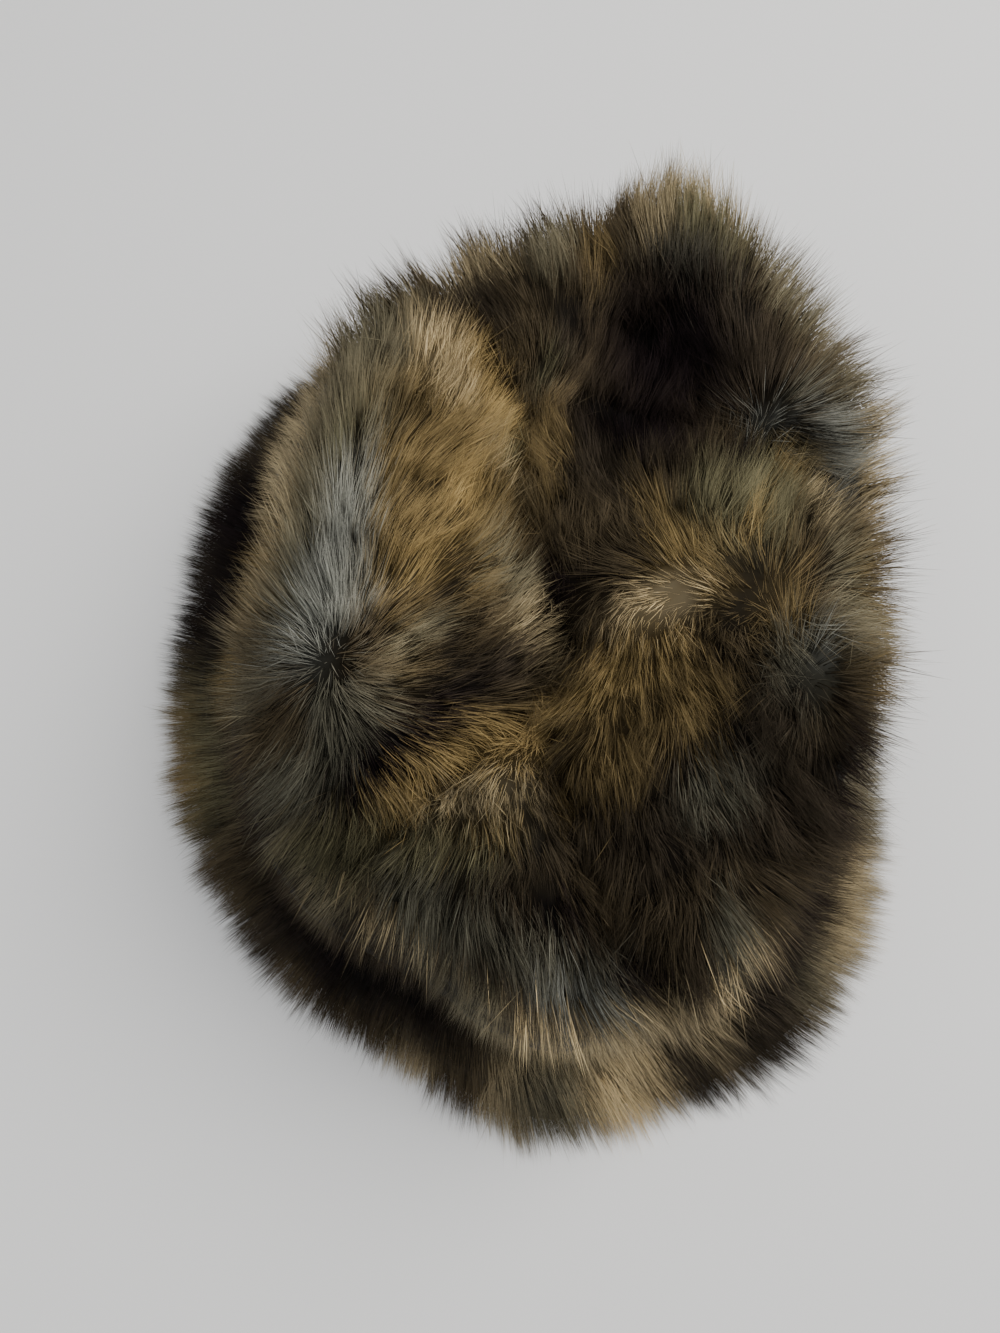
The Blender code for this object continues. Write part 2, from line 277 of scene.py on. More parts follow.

# Dyed patches of the band and the brim, by bearing in degrees and share of the way down the panel.
# The dark stripes named shadow at the band's foot and the near-black ones at the brim's inner edge are
# painted shadow of the crown's overhang; the pale left_upper stripe is partly painted highlight of the
# crown's lit edge
Stripe = namedtuple("Stripe", "name bearing reach share breadth dye")
SIDE_STRIPES = table(Stripe, (
    ("right", 0, 20, 0.2, 0.6, "taupe"),
    ("right_low", 0, 30, 0.9, 0.5, "umber"),
    ("right_tan", 22, 12, 0.1, 0.6, "tan"),
    ("upper_right", 42, 13, 0.2, 0.7, "ash"),
    ("upper_right_dark", 58, 10, 0.5, 0.9, "bark"),
    ("top", 72, 10, 0.2, 0.7, "taupe"),
    ("top_dark", 90, 12, 0.6, 0.9, "umber"),
    ("top_left", 108, 14, 0.2, 0.7, "umber"),
    # Partly painted highlight of the crown's lit edge
    ("left_upper", 142, 22, 0.3, 0.7, "beige"),
    ("left", 172, 14, 0.1, 0.5, "tan"),
    ("left_shadow", 172, 46, 0.95, 0.5, "black"),
    ("left_low", 190, 9, 0.1, 0.4, "tan"),
    ("left_lower", 206, 12, 0.2, 0.8, "bark"),
    ("left_black", 214, 9, 0.4, 0.4, "black"),
    ("lower_left_shadow", 240, 28, 0.65, 0.5, "bark"),
    ("corner", 229, 8, 0.08, 0.2, "taupe"),
    ("lower_left", 246, 12, 0.04, 0.14, "taupe"),
    ("bottom_left", 260, 8, 0.25, 0.5, "taupe"),
    ("bottom", 275, 12, 0.2, 0.8, "beige"),
    ("bottom_dark", 287, 3, 0.2, 0.6, "umber"),
    ("bottom_right", 298, 7, 0.1, 0.4, "umber"),
    ("lower_right", 318, 20, 0.8, 0.7, "bark"),
    ("lower_right_tan", 340, 10, 0.3, 0.7, "taupe"),
))
BRIM_STRIPES = table(Stripe, (
    ("right", 0, 26, 0.6, 0.9, "umber"),
    ("upper_right", 44, 24, 0.6, 0.9, "olive"),
    ("top", 88, 26, 0.6, 0.9, "umber"),
    ("upper_left", 128, 14, 0.5, 0.9, "bark"),
    ("left_high_outer", 165, 24, 0.95, 0.5, "bark"),
    # Near-black: painted shadow of the crown's overhang on the inner brim
    ("left_high", 150, 12, 0.4, 0.5, "black"),
    ("left_inner", 172, 20, 0.3, 0.45, "black"),
    ("left_middle", 196, 18, 0.6, 0.9, "olive"),
    ("left_outer", 190, 12, 0.85, 0.45, "tan"),
    ("lower_left", 210, 9, 0.6, 0.9, "umber"),
    ("lower_dark", 222, 5, 0.6, 0.9, "bark"),
    ("lower", 246, 20, 0.6, 0.9, "umber"),
    # Near-black: painted shadow of the crown's overhang on the inner brim
    ("lower_inner", 236, 26, 0.1, 0.35, "black"),
    ("lower_streak", 251, 5, 0.9, 0.4, "beige"),
    ("bottom_streak", 266, 3, 0.6, 0.9, "beige"),
    ("bottom_grey", 273, 5, 0.6, 0.9, "taupe"),
    ("bottom_tan", 283, 7, 0.7, 0.9, "cream"),
    ("bottom_dark", 292, 4, 0.6, 0.9, "bark"),
    ("bottom_right_inner", 300, 5, 0.3, 0.3, "beige"),
    ("bottom_right", 306, 7, 0.6, 0.45, "bark"),
    ("right_low", 315, 4, 0.5, 0.8, "taupe"),
    ("right_outer", 326, 11, 0.9, 0.45, "beige"),
    # Near-black: painted shadow of the crown's overhang on the inner brim
    ("right_inner", 318, 15, 0.2, 0.38, "black"),
    ("right_outer_high", 342, 7, 0.8, 0.5, "taupe"),
))

# How far strands stray from the nap: a clump, a tuft, a strand by itself, a loose strand, and all of them
# where the pile would stand upright
CLUMP_STRAY = 0.22
TUFT_STRAY = 0.22
STRAND_STRAY = 0.07
WILD_STRAY = 0.3
EYE_STRAY = 0.8

# Share of the way up a strand where it is seen and its dye is read
SEEN_PART = 0.65

# Share of the stray that a strand has at its root
ROOT_STRAY = 0.6

# Least and most of what varies from strand to strand, beside its usual value
LENGTH_RANGE = (0.75, 1.1)
PULL_RANGE = (0.5, 1.1)
WIDTH_RANGE = (0.7, 1.25)

# How much thinner a strand is at its last joint, and its least height over the floor at root and tip
TAPER = 0.25
FLOOR_GAPS = (0.6, 0.3)

# How far along the nap, and to any side, lies the place that a strand takes its dye from
DYE_STREAK = 4.0
DYE_STRAY = 1.2

# How sharply a dye's patch or stripe ends
DYE_SHARPNESS = 1.2

# How much of a strand's shade is its own, its tuft's streak, its lock's streak and its clump's
OWN_SHADE = 0.25
TUFT_SHADE = 0.22
LOCK_SHADE = 0.22
CLUMP_SHADE = 0.2

# Rows and columns of the cells that roots are scattered in
ROOT_CELLS = (60, 180)

# Seeds of what strands share with their clump and tuft
CLUMP_SEED = 31
CLUMP_STRAY_SEED = 32
CLUMP_SHADE_SEED = 33
TUFT_SEED = 41
TUFT_STRAY_SEED = 42

# Smooth noise that turns the nap, changes lengths, makes the under-fur ragged and strays the edges of
# patches and stripes: the size of its cells, its height and its seed
Noise = namedtuple("Noise", "size height seed")
NAP_TURN = (Noise(12.0, 0.5, 12), Noise(4.5, 0.3, 13))
LOST_TURN = Noise(5.0, 3.2, 14)
RING_SWAY = Noise(30.0, 0.35, 11)
LENGTH_CHANGE = (Noise(9.0, 0.10, 21), Noise(3.0, 0.12, 22))
UNDER_RAGGED = (Noise(2.3, 0.8, 61), Noise(7.0, 1.0, 62))
PATCH_STRAY_X = (Noise(15.0, 2.5, 71), Noise(5.0, 1.2, 75))
PATCH_STRAY_Y = (Noise(15.0, 2.5, 72), Noise(5.0, 1.2, 76))
STRIPE_STRAY_ROUND = (Noise(12.0, 0.025, 73), Noise(4.5, 0.012, 74))
STRIPE_STRAY_DOWN = Noise(12.0, 0.1, 75)

# Depth and radius that stand for the ring panels where they are laid out flat
PANEL_DEPTH = 55.0
PANEL_RADIUS = 110.0

# The same for the noise that sways their nap
SWAY_DEPTH = 50.0
SWAY_RADIUS = 100.0

# Where the tip's pile parts: it lies away from the middle of a whorl
Whorl = namedtuple("Whorl", "name x y reach eye strength")
WHORLS = table(Whorl, (
    ("left", -58, -9, 50, 11, 1.0),
    ("right", 77, -13, 18, 4, 0.5),
    ("upper_right", 72, 68, 18, 4, 0.7),
))

# Which way the tip's pile is combed round a place, as a bearing in degrees from +X
Comb = namedtuple("Comb", "name x y reach bearing")
COMBS = table(Comb, (
    ("dome_left", 31, 27, 11, 126),
    ("dome_middle", 46, 34, 12, 104),
    ("dome_right", 61, 32, 13, 72),
    ("dome_top", 48, 52, 14, 96),
    ("dome_top_right", 66, 48, 14, 68),
    ("bright_left", 31, 13, 9, 212),
    ("bright_top", 45, 19, 11, 146),
    ("bright_right", 58, 12, 9, 170),
    ("brown_top", 71, 21, 10, 86),
    ("brown_foot", 60, -4, 12, 280),
    ("brown_right", 84, 2, 12, 345),
    ("right_up", 84, 34, 15, 50),
    ("right_flat", 90, 10, 14, 355),
    ("below_dent", 36, 66, 16, 95),
    ("in_dent", 44, 86, 20, 92),
    ("brown_up", 18, 49, 15, 108),
    ("by_fold", 9, 24, 13, 85),
    ("left_ridge_high", -30, 70, 24, 60),
    ("left_ridge", -22, 40, 24, 48),
    ("left_ridge_low", -18, 12, 18, 30),
    ("above_fold", -16, -10, 14, 20),
    ("low_slope", -32, -26, 14, 350),
    ("under_whorl", -72, -30, 16, 200),
    ("low_left", -62, -50, 17, 215),
    ("band_end", -46, -56, 16, 262),
    ("band_top_left", -28, -42, 15, 258),
    ("band_top", -6, -30, 14, 256),
    ("band_top_right", 9, -19, 12, 250),
    ("band_low", -12, -52, 17, 268),
    ("middle_slope", 24, -14, 15, 262),
    ("middle_low", 16, -40, 17, 270),
    ("cream_low", 30, 0, 13, 258),
    ("cream_right", 44, 4, 11, 266),
    ("middle_foot", 46, -22, 17, 280),
    ("right_dark", 58, -44, 15, 300),
    ("hump_top", 44, -60, 12, 274),
    ("hump_foot", 40, -80, 12, 266),
    ("hump_left", 28, -76, 11, 246),
    ("hump_right", 60, -72, 12, 312),
    ("low_middle", 12, -66, 16, 278),
    ("corner", -64, -76, 16, 214),
    ("rim_left", -42, -90, 17, 248),
    ("olive", -30, -70, 16, 282),
    ("rim_low", -20, -101, 17, 272),
    ("bottom", 0, -98, 17, 290),
    ("bottom_right", 22, -104, 15, 312),
    ("right_rim_low", 48, -106, 14, 330),
    ("right_low", 84, -62, 18, 335),
    ("right_rim_middle", 101, -20, 18, 5),
    ("right_rim", 106, 22, 18, 22),
    ("upper_right_rim", 104, 62, 17, 20),
    ("top_right_rim", 87, 104, 16, 30),
    ("top_right", 75, 125, 16, 58),
    ("top", 52, 128, 18, 84),
    ("top_notch", 28, 121, 13, 96),
    ("top_middle", 6, 118, 15, 110),
    ("top_left", -15, 104, 17, 135),
    ("top_left_rim", -36, 112, 16, 122),
    ("left_rim_high", -62, 92, 20, 128),
))

# How far the ring panels' pile is swept round, anticlockwise from above, as a share of its fall
Sweep = namedtuple("Sweep", "bearing side brim")
SWEEPS = table(Sweep, (
    (0, 0.1, 0.1),
    (60, 0.0, 0.0),
    (120, 0.1, 0.1),
    (180, -0.3, -0.4),
    (240, 0.2, 0.3),
    (300, 0.6, 0.7),
))

# How the strands of each panel lie: how far they lean with the nap, how long they are, how far they
# droop at the floor, how much shorter they are midway down the panel and longer at its foot, how far
# clumps draw them in and how much closer they are at the foot
Nap = namedtuple("Nap", "root_lean tip_lean length droop dip rim gather crowd")
TIP_NAP = Nap(0.6, 1.9, 20.0, 1.0, 0.0, 0.3, 1.0, 0.0)
TIP_LOW_NAP = TIP_NAP._replace(length=17.0)
SIDE_NAP = Nap(0.3, 0.9, 20.5, 2.0, 0.35, 0.0, 0.7, 0.0)
BRIM_NAP = Nap(0.5, 1.15, 22.5, 2.0, 0.0, 0.0, 0.6, 2.0)

# Agreement of the combed ways above which the pile lies over fully, and how fast its way gets lost below
PARTING_REACH = 0.22
LOST_POWER = 1.5

# How much denser the pile is in the eye of a whorl, and how far out
EYE_CROWD = 3.0
EYE_REACH = 9.0

# How sharply one combed way gives over to the next, and the weight of no way at all
COMB_SHARPNESS = 2.5
LONE_WEIGHT = 1e-4

# Partings in the pile, darkened with painted shade where one sees down into it: middle, half length, half
# width and turn from +X in degrees
Slit = namedtuple("Slit", "name x y along across turn")
SLITS = table(Slit, (
    ("fold_top", -2, 66, 8, 2.6, 84),
    ("fold_middle", -4, 38, 6, 2.4, 80),
    ("fold_foot", 7, 4, 12, 2.2, 112),
    ("seam_high", 5, -30, 6, 2.2, 88),
    ("seam_low", 8, -44, 7, 2.2, 95),
    ("band_1", -53, -58, 5, 1.6, 80),
    ("band_2", -40, -56, 5, 1.6, 85),
    ("band_3", -28, -54, 6, 1.6, 95),
    ("band_4", -16, -52, 8, 1.8, 98),
    ("band_5", -8, -54, 5, 1.4, 90),
    ("under_moss", 86, 60, 10, 2.6, -40),
    ("right_hole", 83, 36, 6, 2.2, 80),
    ("upper_part", 46, 30, 8, 1.8, 82),
    ("right_part", 62, -12, 10, 1.8, 60),
    ("top_part_1", 6, 106, 12, 2.2, 115),
    ("top_part_2", -12, 92, 14, 2.6, 140),
    ("whorl_eye", -60, -14, 4, 1.6, 70),
    ("lower_cleft", 30, -88, 13, 3.4, -38),
))
# How much painted shade darkens the middle of a parting
SLIT_DARKNESS = 0.85

# Places along the nap whose noise is averaged, so that bright and dark tufts are streaks, and the size,
# stretch and seed of the streaks
STREAK_STEPS = (-6.0, -4.0, -2.0, 0.0, 2.0, 4.0, 6.0)
Streak = namedtuple("Streak", "size stretch seed")
TUFT_STREAK = Streak(2.6, 1.0, 51)
LOCK_STREAK = Streak(6.0, 2.5, 52)

# Under-fur: gap to the cloth, and its height and shade as the fur material reads them; the low height paints
# it as dark as the roots, partly painted shade deep in the pile
UNDER_GAP = 0.3
UNDER_LEVEL = 0.05
UNDER_SHADE = 0.5

# Share of a panel that its backing and under-fur leave free at a seam, and the least squareness of the
# pile's lean to the cloth that the backing's thickness allows for
SEAM_GAP = 0.004
LEAST_SQUARE = 0.6

# Upward share of a strand's way above which its three sides are set out from X
NEARLY_UPRIGHT = 0.8

# Map of a strand in its cell: margin beside each side, and heights of its root, its tip and its cap
MAP_MARGIN = 0.03
MAP_LEVELS = (0.14, 0.95)
MAP_CAP = ((0.05, 0.02), (0.5, 0.12), (0.95, 0.02))

# Fur material: height where the pile has its full brightness above its dark roots, partly painted shade, how
# late the tips lighten, partly painted highlight, and how roughness follows the shade and gloss follows the
# colour
FULL_HEIGHT = 0.8
TIP_POWER = 2.5
ROUGHNESS_RISE = 0.15
ROUGHNESS_LEAST = 0.5
GLOSS_RISE = 1.2
GLOSS_LEAST = 0.02
GLOSS_MOST = 0.35

# Knit of the backing: share of its courses in the relief, and its dark and light beside its colour
KNIT_SHARE = 0.6
KNIT_LIGHTS = (0.55, 1.35)

# Floor: half its side in millimetres and how far it lies below the hem in metres
FLOOR_HALF = 1600.0
FLOOR_DROP = 0.0002

# Lights, in metres
LAMP_TARGET = (0.0, 0.0, 0.05)
Lamp = namedtuple("Lamp", "name place size colour")
WINDOW = Lamp("window", (0.62, 0.30, 1.0), 0.8, (1.0, 0.985, 0.96))
FILL = Lamp("fill", (-0.6, -0.5, 0.8), 0.9, (0.93, 0.96, 1.0))
ROOM_TINT = (0.94, 0.96, 1.0, 1.0)

# How a seed enters the hash, and odd multipliers that spread whole numbers over 64 bits
SEED_STEP = 7919
SEED_START = 17
HASH_FIRST = np.uint64(0x9E3779B97F4A7C15)
HASH_SECOND = np.uint64(0xBF58476D1CE4E5B9)

# Photograph's view: height and focal length in its pixels, the sensor's height, and the camera's tilt down
# in degrees and its place
PHOTO_HEIGHT = 1333
PHOTO_FOCAL = 1080.0
SENSOR = 36.0
CAMERA_TILT = 76.0
CAMERA_PLACE = (-9.2, -84.6, 397.0)


def outline_radius(bearing, column):
    """Radius at a bearing in radians, by a periodic cubic curve through one column of OUTLINE."""
    values = np.array([getattr(row, column) for row in OUTLINE], dtype=float)
    place = np.mod(bearing, 2 * np.pi) / (2 * np.pi) * len(values)
    row = np.floor(place).astype(int)
    part = place - row
    before, here, after, beyond = (values[(row + step) % len(values)] for step in (-1, 0, 1, 2))
    slope = (after - before) / 2
    next_slope = (beyond - here) / 2
    rise = after - here
    bend = 3 * rise - 2 * slope - next_slope
    twist = slope + next_slope - 2 * rise
    return here + part * (slope + part * (bend + part * twist))


def unit(vector):
    """The same directions at length one."""
    return vector / np.maximum(np.linalg.norm(vector, axis=-1, keepdims=True), 1e-9)


def radial(bearing, up=0.0):
    """Unit direction that points out at a bearing and rises by up for each unit out."""
    return unit(np.stack([np.cos(bearing), np.sin(bearing), up + 0 * bearing], axis=-1))


def ellipse_place(row, x, y):
    """Place in an ellipse's own axes, where its rim is at distance one."""
    turn = math.radians(row.turn)
    along = ((x - row.x) * math.cos(turn) + (y - row.y) * math.sin(turn)) / row.along
    across = ((y - row.y) * math.cos(turn) - (x - row.x) * math.sin(turn)) / row.across
    return along, across


def line_distance(x, y, line):
    """Least distance from each place to a line of straight stretches."""
    nearest = np.full(np.shape(x), np.inf)
    for (ax, ay), (bx, by) in zip(line[:-1], line[1:]):
        run_x, run_y = bx - ax, by - ay
        along = np.clip(((x - ax) * run_x + (y - ay) * run_y) / (run_x ** 2 + run_y ** 2), 0, 1)
        nearest = np.minimum(nearest, np.hypot(x - ax - along * run_x, y - ay - along * run_y))
    return nearest


def relief(x, y):
    """Height of the humps less the depth of the folds, each a bell curve of the distance from it."""
    height = np.zeros(np.shape(x))
    for hump in HUMPS:
        along, across = ellipse_place(hump, x, y)
        height += hump.height * np.exp(-along ** 2 - across ** 2)
    for fold in FOLDS:
        height -= fold.depth * np.exp(-(line_distance(x, y, fold.line) / fold.width) ** 2)
    return height


def tip_point(share, bearing):
    """Cloth of the tip: share runs from the crown's centre to the seam along straight spokes.

    It drops towards the seam by the share's cube, and has the relief of the humps and folds.
    """
    reach = share * outline_radius(bearing, "tip_seam")
    x = CROWN_X + reach * np.cos(bearing)
    y = CROWN_Y + reach * np.sin(bearing)
    return np.stack([x, y, TIP_LEVEL - TIP_DROP * share ** 3 + relief(x, y)], axis=-1)


def head_point(bearing):
    """The seam round the head opening, an oval."""
    x = HEAD_HALF_X * np.cos(bearing)
    y = HEAD_Y + HEAD_HALF_Y * np.sin(bearing)
    return np.stack([x, y, HEAD_LEVEL + 0 * bearing], axis=-1)


def side_point(share, bearing):
    """Cloth of the band: a bowed line from the tip's seam to the head opening, with soft ripples."""
    seam = tip_point(1 + 0 * bearing, bearing)
    down = share[..., None]
    swell = SIDE_BULGE + SIDE_RIPPLE * (np.cos(5 * bearing + 0.6) + 0.6 * np.cos(9 * bearing + 2.0))
    bow = (swell * np.sin(np.pi * share))[..., None]
    return (1 - down) * seam + down * head_point(bearing) + radial(bearing) * bow


def brim_point(share, bearing):
    """Cloth of the brim: an arched line from the head opening down to the hem on the floor."""
    reach = outline_radius(bearing, "hem")
    hem = np.stack([reach * np.cos(bearing), reach * np.sin(bearing), 0 * bearing], axis=-1)
    out = share[..., None]
    arch = (BRIM_ARCH * np.sin(np.pi * share))[..., None]
    return (1 - out) * head_point(bearing) + out * hem + radial(bearing, up=1.0) * arch


def surface_frame(point, share, bearing):
    """Place, outward normal, direction down the panel and direction round it, by small steps each way."""
    low = np.clip(share - STEP, 0.0, 1.0)
    high = np.clip(share + STEP, 0.0, 1.0)
    down = unit(point(high, bearing) - point(low, bearing))
    about = unit(point(share, bearing + STEP) - point(share, bearing - STEP))
    return point(share, bearing), unit(np.cross(down, about)), down, about


def seam_lean(bearing):
    """Shared direction of the pile at the tip's seam."""
    return radial(bearing, up=SEAM_RISE)


def corner_lean(bearing):
    """Shared direction of the pile where the band meets the brim."""
    return radial(bearing, up=CORNER_RISE)


def tip_lean(share, bearing, normal):
    """Pile along the tip's normal, turned to the seam's direction by the share's fifth power."""
    weight = share[..., None] ** 5
    return unit((1 - weight) * unit(normal + np.array([0, 0, TIP_RISE])) + weight * seam_lean(bearing))


def side_lean(share, bearing, normal):
    """Pile along the band's normal, turned by cubes to the seam's direction above and the corner's below."""
    top = (1 - share[..., None]) ** 3
    foot = share[..., None] ** 3
    return unit((1 - top - foot) * normal + top * seam_lean(bearing) + foot * corner_lean(bearing))


def brim_lean(share, bearing, normal):
    """Pile along the brim's normal, turned to the corner's direction above and flat at the hem.

    The first turn goes by a cube and the second by a fourth power.
    """
    top = (1 - share[..., None]) ** 3
    foot = share[..., None] ** 4
    return unit((1 - top - foot) * normal + top * corner_lean(bearing) + foot * radial(bearing))


Panel = namedtuple("Panel", "name point lean closed_tip")
TIP = Panel("crown_tip", tip_point, tip_lean, True)
SIDE = Panel("crown_side", side_point, side_lean, False)
BRIM = Panel("brim", brim_point, brim_lean, False)


def hat_shift():
    """Move from the shape's own axes to the frame's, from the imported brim's box and the hem's formula."""
    low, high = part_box("brim")
    bearing = np.arange(HEM_POINTS) * 2 * np.pi / HEM_POINTS
    hem = brim_point(1 + 0 * bearing, bearing)
    middle = (hem.min(axis=0) + hem.max(axis=0)) / 2
    packed = (np.array(low) + np.array(high)) / 2 / MM
    return np.array([packed[0] - middle[0], packed[1] - middle[1], 0.0])


def value_noise(places, size, seed):
    """Smooth noise from -1 to 1: random values at the corners of a square lattice, eased between them."""
    cell = np.floor(places / size).astype(int)
    part = places / size - cell
    ease = part * part * (3 - 2 * part)
    total = 0
    for corner in range(2 ** places.shape[-1]):
        bits = np.array([(corner >> k) & 1 for k in range(places.shape[-1])])
        weight = np.prod(np.where(bits, ease, 1 - ease), axis=-1)
        total = total + weight * hashed(cell + bits, seed)
    return total * 2 - 1


def waves(places, *noises):
    """Sum of smooth noises, each at its own height."""
    return sum(noise.height * value_noise(places, noise.size, noise.seed) for noise in noises)


def hashed(cells, seed):
    """Repeatable value from 0 to 1 for each lattice cell, by mixing its whole numbers."""
    mixed = np.full(cells.shape[:-1], seed * SEED_STEP + SEED_START, dtype=np.uint64)
    for axis in range(cells.shape[-1]):
        mixed = mixed ^ (cells[..., axis].astype(np.int64).astype(np.uint64) * HASH_FIRST)
        mixed = (mixed ^ (mixed >> np.uint64(31))) * HASH_SECOND
    mixed = mixed ^ (mixed >> np.uint64(27))
    return (mixed >> np.uint64(40)).astype(float) / float(1 << 24)


def clump_centre(places, size, seed):
    """Nearest of the points scattered one to a square cell, looked for in the nine cells around."""
    cell = np.floor(places / size).astype(int)
    best = np.full(places.shape[:-1], np.inf)
    centre = np.zeros(places.shape)
    for step_x in (-1, 0, 1):
        for step_y in (-1, 0, 1):
            near = cell + np.array([step_x, step_y])
            point = (near + np.stack([hashed(near, seed), hashed(near, seed + 1)], axis=-1)) * size
            distance = np.sum((point - places) ** 2, axis=-1)
            closer = distance < best
            best = np.where(closer, distance, best)
            centre = np.where(closer[..., None], point, centre)
    return centre


def combed(x, y):
    """Way that the tip's pile lies, as the weighted mean of the whorls about a place and the combed ways.

    Each weight is a bell curve of the distance. The mean's length is how far the ways agree there, and comes
    second. The way has the hyperbolic tangent of it as its length, so the pile stands up only where two ways
    meet head on.
    """
    total = np.zeros(np.shape(x) + (2,))
    weights = np.full(np.shape(x), LONE_WEIGHT)
    for row in WHORLS:
        away = np.stack([x - row.x, y - row.y], axis=-1)
        distance = np.linalg.norm(away, axis=-1)
        weight = row.strength * np.exp(-COMB_SHARPNESS * (distance / row.reach) ** 2)
        total += unit(away) * (weight * np.tanh(distance / row.eye))[..., None]
        weights += weight
    for row in COMBS:
        weight = np.exp(-COMB_SHARPNESS * ((x - row.x) ** 2 + (y - row.y) ** 2) / row.reach ** 2)
        way = np.array([math.cos(math.radians(row.bearing)), math.sin(math.radians(row.bearing))])
        total += weight[..., None] * way
        weights += weight
    way = total / weights[..., None]
    agreement = np.linalg.norm(way, axis=-1, keepdims=True)
    return unit(way) * np.tanh(agreement / PARTING_REACH), agreement


def streaked(chart, way, streak):
    """Noise drawn out along the nap: its mean at places each way along, over the root of their number."""
    total = sum(
        value_noise(chart + way * (step * streak.stretch), streak.size, streak.seed) for step in STREAK_STEPS
    )
    return total / math.sqrt(len(STREAK_STEPS))


def clump_key(centre):
    """Whole numbers that tell one clump from the next, from its centre in hundredths."""
    return np.round(centre * 100).astype(int)


def shared_stray(centre, seed):
    """A direction from -1 to 1 on each axis, the same for all strands of one clump."""
    return np.stack([hashed(clump_key(centre), seed * 10 + axis) * 2 - 1 for axis in range(3)], axis=-1)


def slit_painted_shade(x, y):
    """Share of its dye's brightness that the tip's pile keeps under painted shade, less by a steep bell curve
    in a parting.
    """
    shade = np.ones(np.shape(x))
    for slit in SLITS:
        along, across = ellipse_place(slit, x, y)
        shade = shade * (1 - SLIT_DARKNESS * np.exp(-(along ** 2 + across ** 2) ** 1.5))
    return shade


def sweep_at(bearing, column):
    """How far the pile is swept round at a bearing, by straight lines between the rows of SWEEPS."""
    known = [math.radians(row.bearing) for row in SWEEPS]
    values = [getattr(row, column) for row in SWEEPS]
    return np.interp(np.mod(bearing, 2 * np.pi), known, values, period=2 * np.pi)


def nap_flow(panel, spot, share, bearing, down, about):
    """Way that a panel's pile lies, as a direction along the cloth of length up to about one.

    The tip's combed way is turned by noise, and by much more where the ways disagree. The pile of a ring
    panel falls down it, swept round by the sweep of that bearing and by noise.
    """
    if panel is TIP:
        flat = spot[..., :2]
        flow, agreement = combed(flat[..., 0], flat[..., 1])
        lost = (1 - agreement[..., 0].clip(0, 1)) ** LOST_POWER
        turn = waves(flat, *NAP_TURN) + lost * waves(flat, LOST_TURN)
        aside = np.stack([-flow[..., 1], flow[..., 0]], axis=-1)
        flow = flow * np.cos(turn)[..., None] + aside * np.sin(turn)[..., None]
        return np.concatenate([flow, np.zeros(flow.shape[:-1] + (1,))], axis=-1)
    sway = waves(np.stack([bearing * SWAY_RADIUS, share * SWAY_DEPTH], axis=-1), RING_SWAY)
    swept = sweep_at(bearing, "side" if panel is SIDE else "brim") + sway
    return unit(down + swept[..., None] * about)


def dye_table(settings):
    """The palette as named colours."""
    return {name: np.array(getattr(settings, name)) for name in DYES}


def painted(colour, distance, dye):
    """Colour with a dye painted over it, by a bell curve of the fourth power of the distance."""
    cover = np.exp(-DYE_SHARPNESS * distance ** 4)[..., None]
    return colour + cover * (dye - colour)


def tip_dye_and_shade(spot, palette):
    """Dye of the tip, with painted shade in its hollows and painted highlight on its rims: its patches
    painted in order over umber, their edges wandering with noise.
    """
    x = spot[..., 0] + waves(spot[..., :2], *PATCH_STRAY_X)
    y = spot[..., 1] + waves(spot[..., :2], *PATCH_STRAY_Y)
    colour = palette["umber"] * np.ones(x.shape + (1,))
    for patch in TIP_PATCHES:
        colour = painted(colour, np.hypot(*ellipse_place(patch, x, y)), palette[patch.dye])
    return colour


def unrolled(share, bearing):
    """Flat coordinates in millimetres of a ring panel: round it and down it."""
    return np.stack([bearing * PANEL_RADIUS, share * PANEL_DEPTH], axis=-1)


def stripe_dye_and_shade(stripes, share, bearing, palette):
    """Dye of a ring panel, with painted shadow of the crown's overhang: its stripes painted in order over
    umber, by bearing and by share.
    """
    flat = unrolled(share, bearing)
    bearing = bearing + waves(flat, *STRIPE_STRAY_ROUND)
    share = share + waves(flat, STRIPE_STRAY_DOWN)
    colour = palette["umber"] * np.ones(share.shape + (1,))
    for stripe in stripes:
        turn = np.mod(bearing - math.radians(stripe.bearing) + np.pi, 2 * np.pi) - np.pi
        distance = np.hypot(turn / math.radians(stripe.reach), (share - stripe.share) / stripe.breadth)
        colour = painted(colour, distance, palette[stripe.dye])
    return colour


def panel_dye_and_shade(panel, spot, share, bearing, palette):
    """Dye of a panel at each place, with its painted shade and highlight."""
    if panel is TIP:
        return tip_dye_and_shade(spot, palette)
    stripes = SIDE_STRIPES if panel is SIDE else BRIM_STRIPES
    return stripe_dye_and_shade(stripes, share, bearing, palette)


